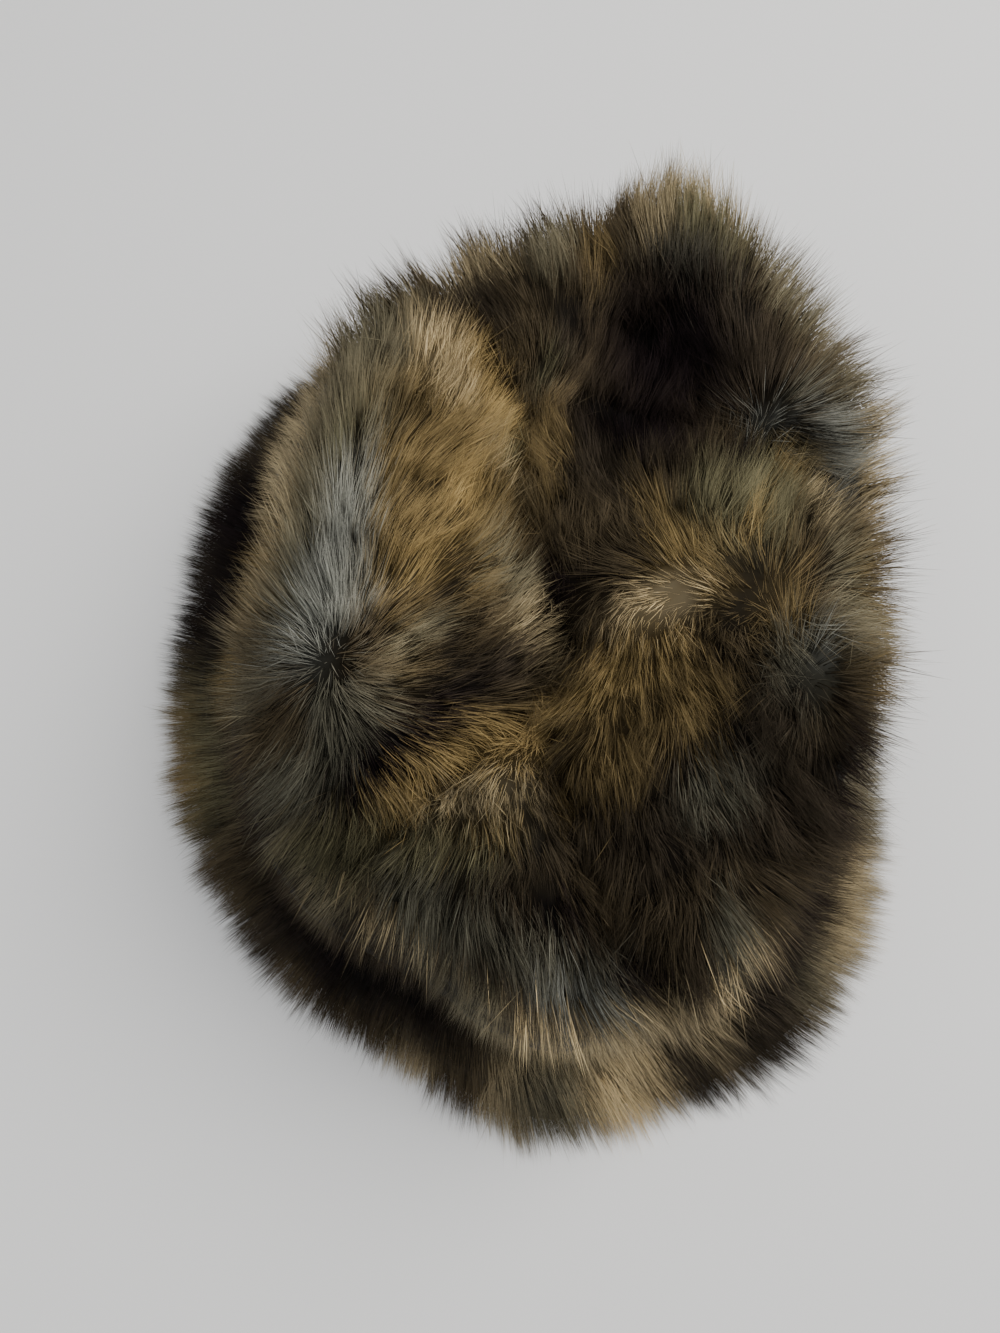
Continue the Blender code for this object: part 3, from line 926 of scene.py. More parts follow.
def scattered(panel, count, crowd, rng):
    """Shares and bearings of strand roots: cells drawn by their area, then jittered.

    A crowd above zero makes the roots closer towards the foot of the panel. The tip's roots are closer in the
    eye of each whorl too, by a bell curve of the distance, as its strands all lean away from there.
    """
    rows, columns = ROOT_CELLS
    share = (np.arange(rows) + 0.5) / rows
    bearing = (np.arange(columns) + 0.5) * 2 * np.pi / columns
    share, bearing = np.meshgrid(share, bearing, indexing="ij")
    down = (panel.point(share + STEP, bearing) - panel.point(share - STEP, bearing)) / (2 * STEP)
    about = (panel.point(share, bearing + STEP) - panel.point(share, bearing - STEP)) / (2 * STEP)
    density = 1 + crowd * share
    if panel is TIP:
        spot = panel.point(share, bearing)
        for row in WHORLS:
            apart = (spot[..., 0] - row.x) ** 2 + (spot[..., 1] - row.y) ** 2
            density += EYE_CROWD * row.strength * np.exp(-apart / EYE_REACH ** 2)
    area = (np.linalg.norm(np.cross(down, about), axis=-1) * density).ravel()
    cell = rng.choice(area.size, size=count, p=area / area.sum())
    row, column = np.divmod(cell, columns)
    jitter = rng.uniform(0, 1, (2, count))
    return (row + jitter[0]) / rows, (column + jitter[1]) * 2 * np.pi / columns


def chart_places(panel, spot, share, bearing):
    """Flat coordinates of a panel in millimetres, for clumps: from above, or round it and down it."""
    return spot[..., :2] if panel is TIP else unrolled(share, bearing)


Roots = namedtuple("Roots", "share bearing spot down about flow lean chart clump tuft")
Strands = namedtuple("Strands", "joints radius dye shade")


def strand_roots(panel, nap, count, settings, rng):
    """Where strands leave a panel: place, nap along the cloth, lean of the pile, clump and tuft."""
    share, bearing = scattered(panel, count, nap.crowd, rng)
    spot, normal, down, about = surface_frame(panel.point, share, bearing)
    flow = nap_flow(panel, spot, share, bearing, down, about)
    flow = flow - normal * np.sum(flow * normal, axis=-1, keepdims=True)
    lean = panel.lean(share, bearing, normal)
    chart = chart_places(panel, spot, share, bearing)
    clump = clump_centre(chart, settings.clump_size / MM, CLUMP_SEED)
    tuft = clump_centre(chart, settings.tuft_size / MM, TUFT_SEED)
    return Roots(share, bearing, spot, down, about, flow, lean, chart, clump, tuft)


def strand_stray(roots, nap, wild, rng):
    """How far each strand strays from the nap: with its clump, with its tuft and by itself.

    By itself it strays further if it is loose, and where the pile would stand upright.
    """
    shared = CLUMP_STRAY * shared_stray(roots.clump, CLUMP_STRAY_SEED)
    shared = shared + TUFT_STRAY * shared_stray(roots.tuft, TUFT_STRAY_SEED)
    upright = 1 - np.linalg.norm(roots.flow, axis=-1, keepdims=True).clip(0, 1)
    own = np.where(wild, WILD_STRAY, STRAND_STRAY) + EYE_STRAY * upright
    return nap.gather * shared + rng.normal(0, 1, (len(wild), 3)) * own


def strand_length(roots, nap, settings, rng):
    """Length of each strand: uneven, less midway down the panel by a sine and more at its foot."""
    length = nap.length * settings.pile_scale * rng.uniform(*LENGTH_RANGE, len(roots.share))
    length = length * (1 - nap.dip * np.sin(np.pi * roots.share) + nap.rim * roots.share ** 4)
    return length * (1 + waves(roots.chart, *LENGTH_CHANGE))


def tip_pull(panel, roots, nap, wild, settings, rng):
    """Move of each strand's tip towards the middles of its clump and its tuft, none if it is loose."""
    to_clump = settings.clump_pull * (roots.clump - roots.chart)
    to_tuft = settings.tuft_pull * (roots.tuft - roots.chart)
    share = rng.uniform(*PULL_RANGE, (len(wild), 1))
    pull = np.where(wild, 0, nap.gather * (to_clump + to_tuft) * share)
    if panel is TIP:
        return np.concatenate([pull, np.zeros((len(pull), 1))], axis=-1)
    return pull[:, :1] * roots.about + pull[:, 1:] * roots.down


def bent_lines(roots, nap, stray, length, pull, joints, rng):
    """Points of each strand from root to tip, leant further at each joint and kept above the floor."""
    rows = [roots.spot + roots.lean]
    for joint in range(1, joints + 1):
        part = (joint - 0.5) / joints
        lean = nap.root_lean + (nap.tip_lean - nap.root_lean) * part
        way = unit(roots.lean + lean * roots.flow + (ROOT_STRAY + part) * stray)
        rows.append(rows[-1] + way * (length / joints)[:, None] + pull * (2 * part / joints))
    droops = [0.0] * joints + [nap.droop]
    for row, gap, droop in zip(rows, np.linspace(*FLOOR_GAPS, joints + 1), droops):
        row[:, 2] = np.maximum(row[:, 2] - droop * rng.uniform(0, 1, len(row)), gap)
    return rows


def strand_dye_and_shade(panel, roots, rows, settings, rng):
    """Dye of each strand, with painted shade and highlight, from where it is seen but further along the nap
    or back.

    So the edges of a patch are streaked. In a parting of the tip painted shade makes it darker.
    """
    count = len(roots.share)
    streak = roots.flow * rng.normal(0, DYE_STREAK, (count, 1)) + rng.normal(0, DYE_STRAY, (count, 3))
    seen = streak + rows[0] + SEEN_PART * (rows[-1] - rows[0])
    share = roots.share + streak[:, 2] / PANEL_DEPTH
    bearing = roots.bearing + streak[:, 0] / PANEL_RADIUS
    dye = panel_dye_and_shade(panel, seen, share, bearing, dye_table(settings))
    # Painted shade in the tip's partings
    if panel is TIP:
        dye = dye * slit_painted_shade(seen[:, 0], seen[:, 1])[:, None]
    return dye


def strand_shade(panel, roots, rng):
    """Shade of each strand from 0 to 1: its own, the streaks of tufts and locks, and its clump's."""
    way = roots.flow[:, :2] if panel is TIP else np.array([[0.0, 1.0]])
    tufts = streaked(roots.chart, way, TUFT_STREAK)
    locks = streaked(roots.chart, way, LOCK_STREAK)
    clump = hashed(clump_key(roots.clump), CLUMP_SHADE_SEED) * 2 - 1
    shade = 0.5 + OWN_SHADE * rng.uniform(-1, 1, len(clump))
    shade = shade + TUFT_SHADE * tufts + LOCK_SHADE * locks + CLUMP_SHADE * clump
    return np.clip(shade, 0, 1)


def grow_strands(panel, nap, count, joints, settings, rng):
    """Strands as bent lines: each leaves the cloth near its normal and bends over with the nap.

    Its tip is drawn towards the middle of its own small clump and of a larger tuft.
    """
    roots = strand_roots(panel, nap, count, settings, rng)
    wild = (rng.uniform(0, 1, count) < settings.wild_share)[:, None]
    stray = strand_stray(roots, nap, wild, rng)
    length = strand_length(roots, nap, settings, rng)
    pull = tip_pull(panel, roots, nap, wild, settings, rng)
    rows = bent_lines(roots, nap, stray, length, pull, joints, rng)
    radius = settings.strand_width / MM / 2 * rng.uniform(*WIDTH_RANGE, count)
    dye = strand_dye_and_shade(panel, roots, rows, settings, rng)
    shade = strand_shade(panel, roots, rng)
    return Strands(np.stack(rows, axis=1), radius, dye, shade)


def strand_faces(joints):
    """Triangles of one strand: rings of three up to a point, and a cap under the root."""
    faces = []
    for low in range(0, 3 * (joints - 1), 3):
        for side in range(3):
            after = (side + 1) % 3
            faces.append((low + side, low + after, low + 3 + after))
            faces.append((low + side, low + 3 + after, low + 3 + side))
    last = 3 * (joints - 1)
    faces += [(last + side, last + (side + 1) % 3, last + 3) for side in range(3)]
    faces.append((0, 2, 1))
    return np.array(faces)


def strand_map(count, joints):
    """Map corners of each strand: a square cell of its own, a column for each side, root at its foot."""
    cells = math.ceil(math.sqrt(count))
    row, column = np.divmod(np.arange(count), cells)
    levels = np.linspace(*MAP_LEVELS, joints + 1)
    sides = [(side / 3 + MAP_MARGIN, (side + 1) / 3 - MAP_MARGIN) for side in range(3)]
    corners = []
    for low, high in zip(levels[:-2], levels[1:-1]):
        for left, right in sides:
            corners += [(left, low), (right, low), (right, high), (left, low), (right, high), (left, high)]
    for left, right in sides:
        corners += [(left, levels[-2]), (right, levels[-2]), ((left + right) / 2, levels[-1])]
    corners += MAP_CAP
    cell = np.stack([column, row], axis=-1)[:, None, :]
    return (cell + np.array(corners)[None]) / cells


def ring_of(centre, along, radius):
    """Three points round each centre, square to the way along, set out from Z or, if that is near, from X."""
    flat = np.abs(along[:, 2:3]) < NEARLY_UPRIGHT
    guide = np.where(flat, np.array([[0.0, 0.0, 1.0]]), np.array([[1.0, 0.0, 0.0]]))
    first = unit(np.cross(guide, along))
    second = np.cross(along, first)
    angle = np.arange(3) * 2 * np.pi / 3
    spokes = np.cos(angle)[None, :, None] * first[:, None] + np.sin(angle)[None, :, None] * second[:, None]
    return centre[:, None] + radius[:, None, None] * spokes


def strand_mesh(name, strands, material, shift):
    """One mesh of closed tapered strands, each a bent spike of three sides."""
    count, points = strands.joints.shape[:2]
    joints = points - 1
    rings = []
    for k in range(joints):
        along = unit(strands.joints[:, k + 1] - strands.joints[:, max(k - 1, 0)])
        rings.append(ring_of(strands.joints[:, k], along, strands.radius * (1 - TAPER * k / joints)))
    vertices = np.concatenate(rings + [strands.joints[:, -1:]], axis=1).reshape(-1, 3)
    each = 3 * joints + 1
    faces = (strand_faces(joints)[None] + each * np.arange(count)[:, None, None]).reshape(-1, 3)
    piece = add_mesh(name, vertices + shift, faces, material)
    layer = piece.data.uv_layers.new(name="OFBake")
    layer.uv.foreach_set("vector", strand_map(count, joints).astype(np.float32).ravel())
    height = np.tile(np.append(np.repeat(np.arange(joints) / joints, 3), 1.0), count)
    paint(piece.data, height, np.repeat(strands.shade, each), np.repeat(strands.dye, each, axis=0))
    return piece


def paint(mesh, height, shade, dye):
    """Attributes that the fur material reads: height up the pile, which darkens the roots partly as painted
    shade, strand shade and dye colour with its painted shade and highlight.
    """
    for title, values in (("pile_height", height), ("strand_shade", shade)):
        layer = mesh.attributes.new(title, "FLOAT", "POINT")
        layer.data.foreach_set("value", values.astype(np.float32))
    colour = np.concatenate([dye, np.ones((len(dye), 1))], axis=-1).astype(np.float32)
    layer = mesh.attributes.new("dye", "FLOAT_COLOR", "POINT")
    layer.data.foreach_set("color", colour.ravel())


def add_mesh(name, vertices, faces, material):
    """One smooth mesh object at the origin, from triangles in millimetres."""
    mesh = bpy.data.meshes.new(name)
    mesh.vertices.add(len(vertices))
    mesh.vertices.foreach_set("co", (vertices * MM).astype(np.float32).ravel())
    mesh.loops.add(faces.size)
    mesh.loops.foreach_set("vertex_index", faces.astype(np.int32).ravel())
    mesh.polygons.add(len(faces))
    mesh.polygons.foreach_set("loop_start", np.arange(0, faces.size, 3, dtype=np.int32))
    mesh.update(calc_edges=True)
    mesh.shade_smooth()
    mesh.materials.append(material)
    piece = bpy.data.objects.new(name, mesh)
    bpy.context.scene.collection.objects.link(piece)
    return piece


def ring_cells(rows, columns, start):
    """Two triangles for each cell of a ring grid whose vertices begin at start, wound to face out."""
    row, column = np.meshgrid(np.arange(rows), np.arange(columns), indexing="ij")
    here = start + row * columns + column
    beside = start + row * columns + (column + 1) % columns
    first = np.stack([here, here + columns, beside + columns], axis=-1)
    second = np.stack([here, beside + columns, beside], axis=-1)
    return np.concatenate([first.reshape(-1, 3), second.reshape(-1, 3)])


def joined_rings(first_ring, second_ring, columns):
    """Two triangles for each cell between two rings, given by their first vertices."""
    column = np.arange(columns)
    beside = (column + 1) % columns
    one = np.stack([first_ring + column, first_ring + beside, second_ring + beside], axis=-1)
    two = np.stack([first_ring + column, second_ring + beside, second_ring + column], axis=-1)
    return np.concatenate([one, two])


def pole_fan(pole, ring, columns):
    """Triangles from a pole to the ring round it."""
    column = np.arange(columns)
    return np.stack([pole + 0 * column, ring + column, ring + (column + 1) % columns], axis=-1)


def closed_shell(outer, inner, closed_tip):
    """Vertices and faces of a shell between two ring grids, closed at both ends or by two poles."""
    rows, columns = outer.shape[0] - 1, outer.shape[1]
    start = outer.shape[0] * columns
    vertices = [outer.reshape(-1, 3), inner.reshape(-1, 3)]
    faces = [ring_cells(rows, columns, 0), ring_cells(rows, columns, start)[:, ::-1]]
    if closed_tip:
        vertices.append(np.stack([outer[0].mean(axis=0), inner[0].mean(axis=0)]))
        faces += [pole_fan(2 * start, 0, columns), pole_fan(2 * start + 1, start, columns)[:, ::-1]]
    else:
        faces.append(joined_rings(0, start, columns))
    faces.append(joined_rings(start + rows * columns, rows * columns, columns))
    return np.concatenate(vertices), np.concatenate(faces)


def panel_grid(panel, rows, columns):
    """Even grid over a panel, a hair short of its seams: share, bearing, place, normal and lean."""
    first = 1.0 / rows if panel.closed_tip else SEAM_GAP
    last = 1.0 if panel is BRIM else 1.0 - SEAM_GAP
    share, bearing = np.meshgrid(
        np.linspace(first, last, rows + 1), np.arange(columns) * 2 * np.pi / columns, indexing="ij"
    )
    spot, normal = surface_frame(panel.point, share, bearing)[:2]
    return share, bearing, spot, normal, panel.lean(share, bearing, normal)


def backing_shell(panel, material, shift, rows=16, columns=100):
    """Backing cloth: the panel's surface and the same surface one thickness further in."""
    share, bearing, spot, normal, lean = panel_grid(panel, rows, columns)
    square = np.clip(np.sum(lean * normal, axis=-1), LEAST_SQUARE, 1.0)
    inner = spot - lean * (CLOTH / square)[..., None]
    vertices, faces = closed_shell(spot, inner, panel.closed_tip)
    return add_mesh(panel.name + "_backing", vertices + shift, faces, material)


def under_fur(panel, material, settings, shift, rows=26, columns=150):
    """Short dense pile near the cloth: the panel raised along its lean, with a fine ragged height."""
    share, bearing, spot, normal, lean = panel_grid(panel, rows, columns)
    height = settings.under_height / MM + waves(chart_places(panel, spot, share, bearing), *UNDER_RAGGED)
    outer = spot + lean * height[..., None]
    outer[..., 2] = np.maximum(outer[..., 2], 0.0)
    vertices, faces = closed_shell(outer, spot + lean * UNDER_GAP, panel.closed_tip)
    piece = add_mesh(panel.name + "_under_fur", vertices + shift, faces, material)
    dye = panel_dye_and_shade(panel, spot, share, bearing, dye_table(settings)).reshape(-1, 3)
    dye = np.concatenate([dye, dye, dye[:2]] if panel.closed_tip else [dye, dye])
    # As dark as the roots: partly the fur's dark roots, partly painted shade deep in the pile
    paint(piece.data, np.full(len(dye), UNDER_LEVEL), np.full(len(dye), UNDER_SHADE), dye)
    return piece


def group_socket(group, name, way, kind, default=None):
    """One named socket of a shader group."""
    socket = group.interface.new_socket(name=name, in_out=way, socket_type=kind)
    if default is not None:
        socket.default_value = default
    return socket


def computed(tree, operation, *sources):
    """Result of a math node whose inputs are numbers or other nodes' outputs."""
    node = tree.nodes.new("ShaderNodeMath")
    node.operation = operation
    for socket, source in zip(node.inputs, sources):
        if isinstance(source, (int, float)):
            socket.default_value = source
        else:
            tree.links.new(source, socket)
    return node.outputs[0]


def set_inputs(node, values):
    """Gives a node's inputs their values by name."""
    for title, value in values.items():
        node.inputs[title].default_value = value


def new_material(name):
    """A material with nodes, its node tree and its shader."""
    material = bpy.data.materials.new(name)
    material.use_nodes = True
    return material, material.node_tree, material.node_tree.nodes["Principled BSDF"]


def fur_group():
    """Shader group: strand colour from dye, height up the pile and strand shade.

    The colour is the dye times a brightness, which rises from the dark root, partly painted shade deep in the
    pile, varies from strand to strand and is highest at the tip, partly painted highlight. Gloss follows the
    dye, so near-black pile doesn't shine.
    """
    group = bpy.data.node_groups.new("fur_colour", "ShaderNodeTree")
    group_socket(group, "Dye", "INPUT", "NodeSocketColor", (0.1, 0.07, 0.04, 1))
    for title, default in (
        ("Height", 0.5), ("Shade", 0.5), ("Root Dark", 0.2), ("Tip Light", 0.3), ("Variation", 0.5)
    ):
        group_socket(group, title, "INPUT", "NodeSocketFloat", default)
    group_socket(group, "Colour", "OUTPUT", "NodeSocketColor")
    group_socket(group, "Roughness", "OUTPUT", "NodeSocketFloat")
    group_socket(group, "Gloss", "OUTPUT", "NodeSocketFloat")
    nodes, links = group.nodes, group.links
    entry = nodes.new("NodeGroupInput").outputs
    leave = nodes.new("NodeGroupOutput").inputs
    # Dark roots: partly their own colour, partly painted shade deep in the pile
    rise = nodes.new("ShaderNodeMapRange")
    rise.interpolation_type = "SMOOTHSTEP"
    rise.inputs["From Max"].default_value = FULL_HEIGHT
    links.new(entry["Height"], rise.inputs["Value"])
    links.new(entry["Root Dark"], rise.inputs["To Min"])
    spread = computed(group, "SUBTRACT", entry["Shade"], 0.5)
    strand = computed(group, "MULTIPLY_ADD", spread, entry["Variation"], 1.0)
    # Lighter tips: partly their own colour, partly painted highlight
    late = computed(group, "POWER", entry["Height"], TIP_POWER)
    tip = computed(group, "MULTIPLY_ADD", late, entry["Tip Light"], 1.0)
    bright = computed(group, "MULTIPLY", computed(group, "MULTIPLY", strand, tip), rise.outputs[0])
    tone = nodes.new("ShaderNodeVectorMath")
    tone.operation = "SCALE"
    links.new(entry["Dye"], tone.inputs[0])
    links.new(bright, tone.inputs["Scale"])
    links.new(tone.outputs[0], leave["Colour"])
    rough = computed(group, "MULTIPLY_ADD", entry["Shade"], ROUGHNESS_RISE, ROUGHNESS_LEAST)
    links.new(rough, leave["Roughness"])
    parts = nodes.new("ShaderNodeSeparateColor")
    links.new(tone.outputs[0], parts.inputs[0])
    gloss = computed(group, "MULTIPLY_ADD", parts.outputs["Green"], GLOSS_RISE, GLOSS_LEAST)
    links.new(computed(group, "MINIMUM", gloss, GLOSS_MOST), leave["Gloss"])
    return group


def fur_material(name, root_dark_and_shade, tip_light_and_highlight, variation):
    """Strand material: the fur group's colour, roughness and gloss on a soft shader."""
    material, tree, shader = new_material(name)
    fur = tree.nodes.new("ShaderNodeGroup")
    fur.node_tree = bpy.data.node_groups.get("fur_colour") or fur_group()
    set_inputs(fur, {"Root Dark": root_dark_and_shade, "Tip Light": tip_light_and_highlight, "Variation": variation})
    for title, output, socket in (
        ("dye", "Color", "Dye"), ("pile_height", "Fac", "Height"), ("strand_shade", "Fac", "Shade")
    ):
        reader = tree.nodes.new("ShaderNodeAttribute")
        reader.attribute_name = title
        tree.links.new(reader.outputs[output], fur.inputs[socket])
    for output, socket in (
        ("Colour", "Base Color"), ("Roughness", "Roughness"), ("Gloss", "Specular IOR Level")
    ):
        tree.links.new(fur.outputs[output], shader.inputs[socket])
    return material


def knit_material(name, colour):
    """Backing cloth: a fine knit of crossed waves as colour and bump, read from object coordinates."""
    material, tree, shader = new_material(name)
    nodes, links = tree.nodes, tree.links
    place = nodes.new("ShaderNodeTexCoord")
    knit = nodes.new("ShaderNodeTexWave")
    set_inputs(knit, {"Scale": 260.0, "Distortion": 1.2, "Detail": 1.0})
    course = nodes.new("ShaderNodeTexVoronoi")
    set_inputs(course, {"Scale": 620.0})
    for texture in (knit, course):
        links.new(place.outputs["Object"], texture.inputs["Vector"])
    height = computed(tree, "MULTIPLY_ADD", knit.outputs["Fac"], KNIT_SHARE, course.outputs["Distance"])
    bump = nodes.new("ShaderNodeBump")
    set_inputs(bump, {"Strength": 0.5, "Distance": 0.0006})
    links.new(height, bump.inputs["Height"])
    links.new(bump.outputs["Normal"], shader.inputs["Normal"])
    shades = nodes.new("ShaderNodeMix")
    shades.data_type = "RGBA"
    for socket, light in zip(shades.inputs[6:8], KNIT_LIGHTS):
        socket.default_value = (*[light * c for c in colour], 1.0)
    links.new(height, shades.inputs[0])
    links.new(shades.outputs[2], shader.inputs["Base Color"])
    set_inputs(shader, {"Roughness": 0.9, "Sheen Weight": 0.25})
    return material


def material_named(name, make, *values):
    """A material made once and shared by its pieces."""
    return bpy.data.materials.get(name) or make(name, *values)


def fur_finish(settings):
    """The strands' material with the settings' values."""
    return material_named(
        "dyed_pile", fur_material, settings.root_dark_and_shade, settings.tip_light_and_highlight, settings.variation
    )


def under_finish(settings):
    """The under-fur's material, as dark as the strands' roots, which is partly painted shade deep in the
    pile.
    """
    return material_named("under_fur", fur_material, settings.root_dark_and_shade, 0.0, settings.variation)


DYES = ("honey", "tan", "beige", "cream", "taupe", "olive", "ash", "slate", "umber", "bark", "black")


def dye_property(title, colour, words):
    """One dye of the palette as a colour setting."""
    return bpy.props.FloatVectorProperty(
        name=title, description=words, default=colour, size=3, min=0.0, max=1.0, subtype="COLOR"
    )


class FurHatPile(bpy.types.PropertyGroup):
    """Pile of the hat: its strands, clumps and dyes."""

    tip_strands: bpy.props.IntProperty(
        name="Tip strands", description="Long bent strands of the tip", default=19800, min=100
    )
    tip_fine: bpy.props.IntProperty(
        name="Tip fine strands", description="Fine strands in each of the tip's two layers",
        default=45000, min=100,
    )
    side_fine: bpy.props.IntProperty(
        name="Band fine strands", description="Fine straight strands of the band", default=28000, min=100
    )
    brim_fine: bpy.props.IntProperty(
        name="Brim fine strands", description="Fine straight strands of the brim", default=40000, min=100
    )
    brim_strands: bpy.props.IntProperty(
        name="Brim strands", description="Long bent strands of the brim", default=3000, min=100
    )
    pile_scale: bpy.props.FloatProperty(
        name="Pile length", description="Length of the pile beside its usual length", default=1.0, min=0.2
    )
    strand_width: bpy.props.FloatProperty(
        name="Strand width", description="Width of a strand near its root", default=0.00030, unit="LENGTH"
    )
    clump_size: bpy.props.FloatProperty(
        name="Clump size", description="Distance between small clumps", default=0.0030, unit="LENGTH"
    )
    clump_pull: bpy.props.FloatProperty(
        name="Clump pull", description="How far tips are drawn to their clump", default=0.8
    )
    tuft_size: bpy.props.FloatProperty(
        name="Tuft size", description="Distance between tufts", default=0.008, unit="LENGTH"
    )
    tuft_pull: bpy.props.FloatProperty(
        name="Tuft pull", description="How far tips are drawn to their tuft", default=0.25
    )
    wild_share: bpy.props.FloatProperty(
        name="Loose strands", description="Share of strands that stray from the nap",
        default=0.15, min=0, max=1,
    )
    under_height: bpy.props.FloatProperty(
        name="Under-fur height", description="Height of the under-fur", default=0.0070, unit="LENGTH"
    )
    # Partly the roots' own darkness, partly painted shade deep in the pile
    root_dark_and_shade: bpy.props.FloatProperty(
        name="Root brightness", description="Brightness of the roots beside the dye", default=0.12
    )
    # Partly lighter fibre tips, partly painted highlight of lit edges
    tip_light_and_highlight: bpy.props.FloatProperty(
        name="Tip light", description="How much brighter than its dye a strand's tip is", default=0.45
    )
    variation: bpy.props.FloatProperty(
        name="Variation", description="How far brightness varies from strand to strand", default=1.2
    )
    honey: dye_property("Honey", (0.2585, 0.1806, 0.0684), "Gold-brown of the bright bands")
    tan: dye_property("Tan", (0.1517, 0.1072, 0.0431), "Dull gold of the left slope and the rims")
    # Partly painted highlight where the crown's edges catch the light
    beige: dye_property("Beige", (0.3553, 0.2787, 0.1508), "Pale stripes at the edges")
    cream: dye_property("Cream", (0.6592, 0.5042, 0.2641), "The lightest flecks")
    taupe: dye_property("Taupe", (0.1504, 0.1298, 0.0776), "Grey-brown of the rims")
    olive: dye_property("Olive", (0.1198, 0.1072, 0.0563), "Green-brown between the bands")
    ash: dye_property("Ash", (0.1867, 0.1860, 0.1552), "Blue-grey at the tops of the humps")
    slate: dye_property("Slate", (0.0952, 0.0889, 0.0614), "Dark grey")
    umber: dye_property("Umber", (0.0609, 0.0453, 0.0246), "Brown")
    # Bark also paints shade where the patches named shade and the band's lower left shadow use it
    bark: dye_property("Bark", (0.0363, 0.0277, 0.0180), "Very dark brown")
    # Black also paints shade: the deep dent, the long fold, the cleft, the hole and the crown's shadow on the
    # band and inner brim
    black: dye_property("Black", (0.0094, 0.0063, 0.0067), "Near-black of the deep dent")


class FurHatCloth(bpy.types.PropertyGroup):
    """Backing cloth of the hat."""

    backing: bpy.props.FloatVectorProperty(
        name="Backing colour", description="Colour of the knitted backing", default=(0.050, 0.037, 0.028),
        size=3, subtype="COLOR",
    )


class FurHatStage(bpy.types.PropertyGroup):
    """Floor and light that the hat is shown in."""

    floor: bpy.props.FloatVectorProperty(
        name="Floor colour", description="Colour of the pale floor", default=(0.73, 0.72, 0.70),
        size=3, subtype="COLOR",
    )
    key_power: bpy.props.FloatProperty(
        name="Main light", description="Power of the large soft light", default=16.0, subtype="POWER"
    )
    fill_power: bpy.props.FloatProperty(
        name="Fill light", description="Power of the light from the other side", default=2.0, subtype="POWER"
    )
    sky: bpy.props.FloatProperty(
        name="Room light", description="Strength of the even light of the room", default=0.76
    )


def finished(piece, slot, *nodes):
    """Ties a piece to the hat's body and hides the nodes that it stands for. Its slot is not used."""
    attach(piece, BODY)
    if nodes:
        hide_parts(*nodes)
    return {"FINISHED"}


def pile_slot(panel):
    """Material slot of a panel's pile."""
    return "brim_pile" if panel is BRIM else "crown_pile"


class FURHAT_OT_backing(bpy.types.Operator):
    """Make the backing cloth of the tip, the band and the brim"""

    bl_idname = "furhat.backing"
    bl_label = "Backing Cloth"

    def execute(self, context):
        cloth = material_named("backing_cloth", knit_material, context.scene.fur_hat_cloth.backing)
        for panel in (TIP, SIDE, BRIM):
            finished(backing_shell(panel, cloth, hat_shift()), "backing_cloth", panel.name)
        return {"FINISHED"}


class FURHAT_OT_under_fur(bpy.types.Operator):
    """Make the dense under-fur of each panel"""

    bl_idname = "furhat.under_fur"
    bl_label = "Under-fur"

    def execute(self, context):
        settings = context.scene.fur_hat_pile
        for panel in (TIP, SIDE, BRIM):
            piece = under_fur(panel, under_finish(settings), settings, hat_shift())
            finished(piece, pile_slot(panel), panel.name + "_fur")
        return {"FINISHED"}


def strand_piece(settings, name, panel, nap, count, joints, seed):
    """One piece of strands on a panel."""
    strands = grow_strands(panel, nap, count, joints, settings, np.random.default_rng(seed))
    return finished(strand_mesh(name, strands, fur_finish(settings), hat_shift()), pile_slot(panel))


class FURHAT_OT_tip_pile(bpy.types.Operator):
    """Grow the tip's long strands and its fine ones"""

    bl_idname = "furhat.tip_pile"
    bl_label = "Tip Pile"

    def execute(self, context):
        settings = context.scene.fur_hat_pile
        strand_piece(settings, "crown_tip_pile", TIP, TIP_NAP, settings.tip_strands, 2, 101)
        strand_piece(settings, "crown_tip_fine_pile", TIP, TIP_NAP, settings.tip_fine, 1, 102)
        return strand_piece(settings, "crown_tip_low_pile", TIP, TIP_LOW_NAP, settings.tip_fine, 1, 106)


class FURHAT_OT_side_pile(bpy.types.Operator):
    """Grow the band's pile"""

    bl_idname = "furhat.side_pile"
    bl_label = "Band Pile"

    def execute(self, context):
        settings = context.scene.fur_hat_pile
        return strand_piece(settings, "crown_side_pile", SIDE, SIDE_NAP, settings.side_fine, 1, 103)


class FURHAT_OT_brim_pile(bpy.types.Operator):
    """Grow the brim's long strands and its fine ones"""

    bl_idname = "furhat.brim_pile"
    bl_label = "Brim Pile"

    def execute(self, context):
        settings = context.scene.fur_hat_pile
        strand_piece(settings, "brim_pile", BRIM, BRIM_NAP, settings.brim_strands, 2, 104)
        return strand_piece(settings, "brim_fine_pile", BRIM, BRIM_NAP, settings.brim_fine, 1, 105)


def facing(place, target):
    """Turn that points an object's -Z from its place to a target."""
    return (Vector(target) - Vector(place)).to_track_quat("-Z", "Y").to_euler()


def area_light(lamp, power):
    """A square soft light that faces the hat."""
    light = bpy.data.lights.new(lamp.name, "AREA")
    light.size = lamp.size
    light.energy = power
    light.color = lamp.colour
    piece = bpy.data.objects.new(lamp.name, light)
    bpy.context.scene.collection.objects.link(piece)
    piece.location = lamp.place
    piece.rotation_euler = facing(lamp.place, LAMP_TARGET)


def room_light(scene, strength):
    """Even pale light from all round."""
    world = bpy.data.worlds.new("room")
    world.use_nodes = True
    set_inputs(world.node_tree.nodes["Background"], {"Color": ROOM_TINT, "Strength": strength})
    scene.world = world


def floor_material(colour):
    """Pale matt floor."""
    material, tree, shader = new_material("pale_floor")
    set_inputs(shader, {"Base Color": (*colour, 1.0), "Roughness": 0.7, "Specular IOR Level": 0.2})
    return material


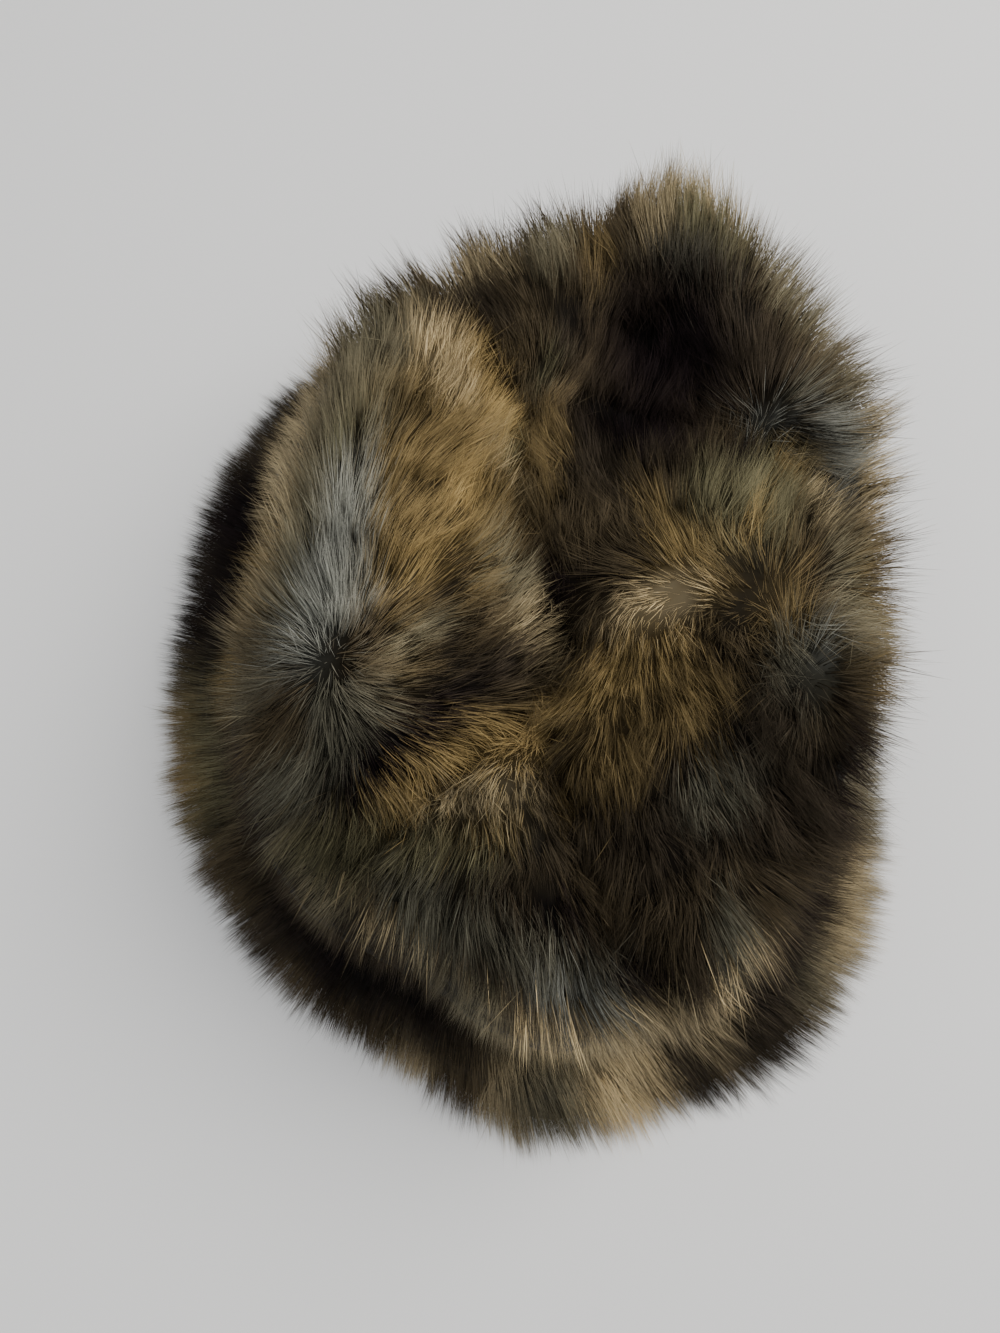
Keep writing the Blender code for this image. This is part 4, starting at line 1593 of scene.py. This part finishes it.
class FURHAT_OT_stage(bpy.types.Operator):
    """Lay the floor, hang the lights and set the camera"""

    bl_idname = "furhat.stage"
    bl_label = "Stage"

    def execute(self, context):
        stage = context.scene.fur_hat_stage
        corners = FLOOR_HALF * np.array([(-1, -1, 0), (1, -1, 0), (1, 1, 0), (-1, 1, 0)])
        floor = add_mesh("floor", corners, np.array([(0, 1, 2), (0, 2, 3)]), floor_material(stage.floor))
        floor.location.z = -FLOOR_DROP
        area_light(WINDOW, stage.key_power)
        area_light(FILL, stage.fill_power)
        room_light(context.scene, stage.sky)
        set_camera(context.scene)
        return {"FINISHED"}


def set_camera(scene):
    """Camera at the photograph's place and angle, its lens from the photograph's height."""
    camera = bpy.data.cameras.new("photo_camera")
    camera.sensor_fit = "VERTICAL"
    camera.sensor_height = SENSOR
    camera.lens = PHOTO_FOCAL / PHOTO_HEIGHT * SENSOR
    camera.clip_start = 0.01
    eye = bpy.data.objects.new("photo_camera", camera)
    scene.collection.objects.link(eye)
    eye.location = (np.array(CAMERA_PLACE) + hat_shift()) * MM
    eye.rotation_euler = (math.radians(90 - CAMERA_TILT), 0.0, 0.0)
    scene.camera = eye


class FURHAT_PT_panel(bpy.types.Panel):
    """Sidebar panel with the hat's settings and makers"""

    bl_label = "Fur Bucket Hat"
    bl_idname = "FURHAT_PT_panel"
    bl_space_type = "VIEW_3D"
    bl_region_type = "UI"
    bl_category = "Fur Hat"

    def draw(self, context):
        for group in (context.scene.fur_hat_cloth, context.scene.fur_hat_pile, context.scene.fur_hat_stage):
            box = self.layout.box()
            for name in group.__annotations__:
                box.prop(group, name)
        for operator in OPERATORS:
            self.layout.operator(operator.bl_idname)


OPERATORS = (
    FURHAT_OT_stage,
    FURHAT_OT_backing,
    FURHAT_OT_under_fur,
    FURHAT_OT_tip_pile,
    FURHAT_OT_side_pile,
    FURHAT_OT_brim_pile,
)
SETTINGS = (("fur_hat_pile", FurHatPile), ("fur_hat_cloth", FurHatCloth), ("fur_hat_stage", FurHatStage))


def register():
    """Adds the settings, the makers and the panel."""
    for title, group in SETTINGS:
        bpy.utils.register_class(group)
        setattr(bpy.types.Scene, title, bpy.props.PointerProperty(type=group))
    for operator in OPERATORS:
        bpy.utils.register_class(operator)
    bpy.utils.register_class(FURHAT_PT_panel)


def unregister():
    """Takes them away again, last first."""
    bpy.utils.unregister_class(FURHAT_PT_panel)
    for operator in reversed(OPERATORS):
        bpy.utils.unregister_class(operator)
    for title, group in reversed(SETTINGS):
        delattr(bpy.types.Scene, title)
        bpy.utils.unregister_class(group)


def main():
    """Makes every piece in order."""
    register()
    for operator in OPERATORS:
        group, name = operator.bl_idname.split(".")
        getattr(getattr(bpy.ops, group), name)()


if __name__ == "__main__":
    main()
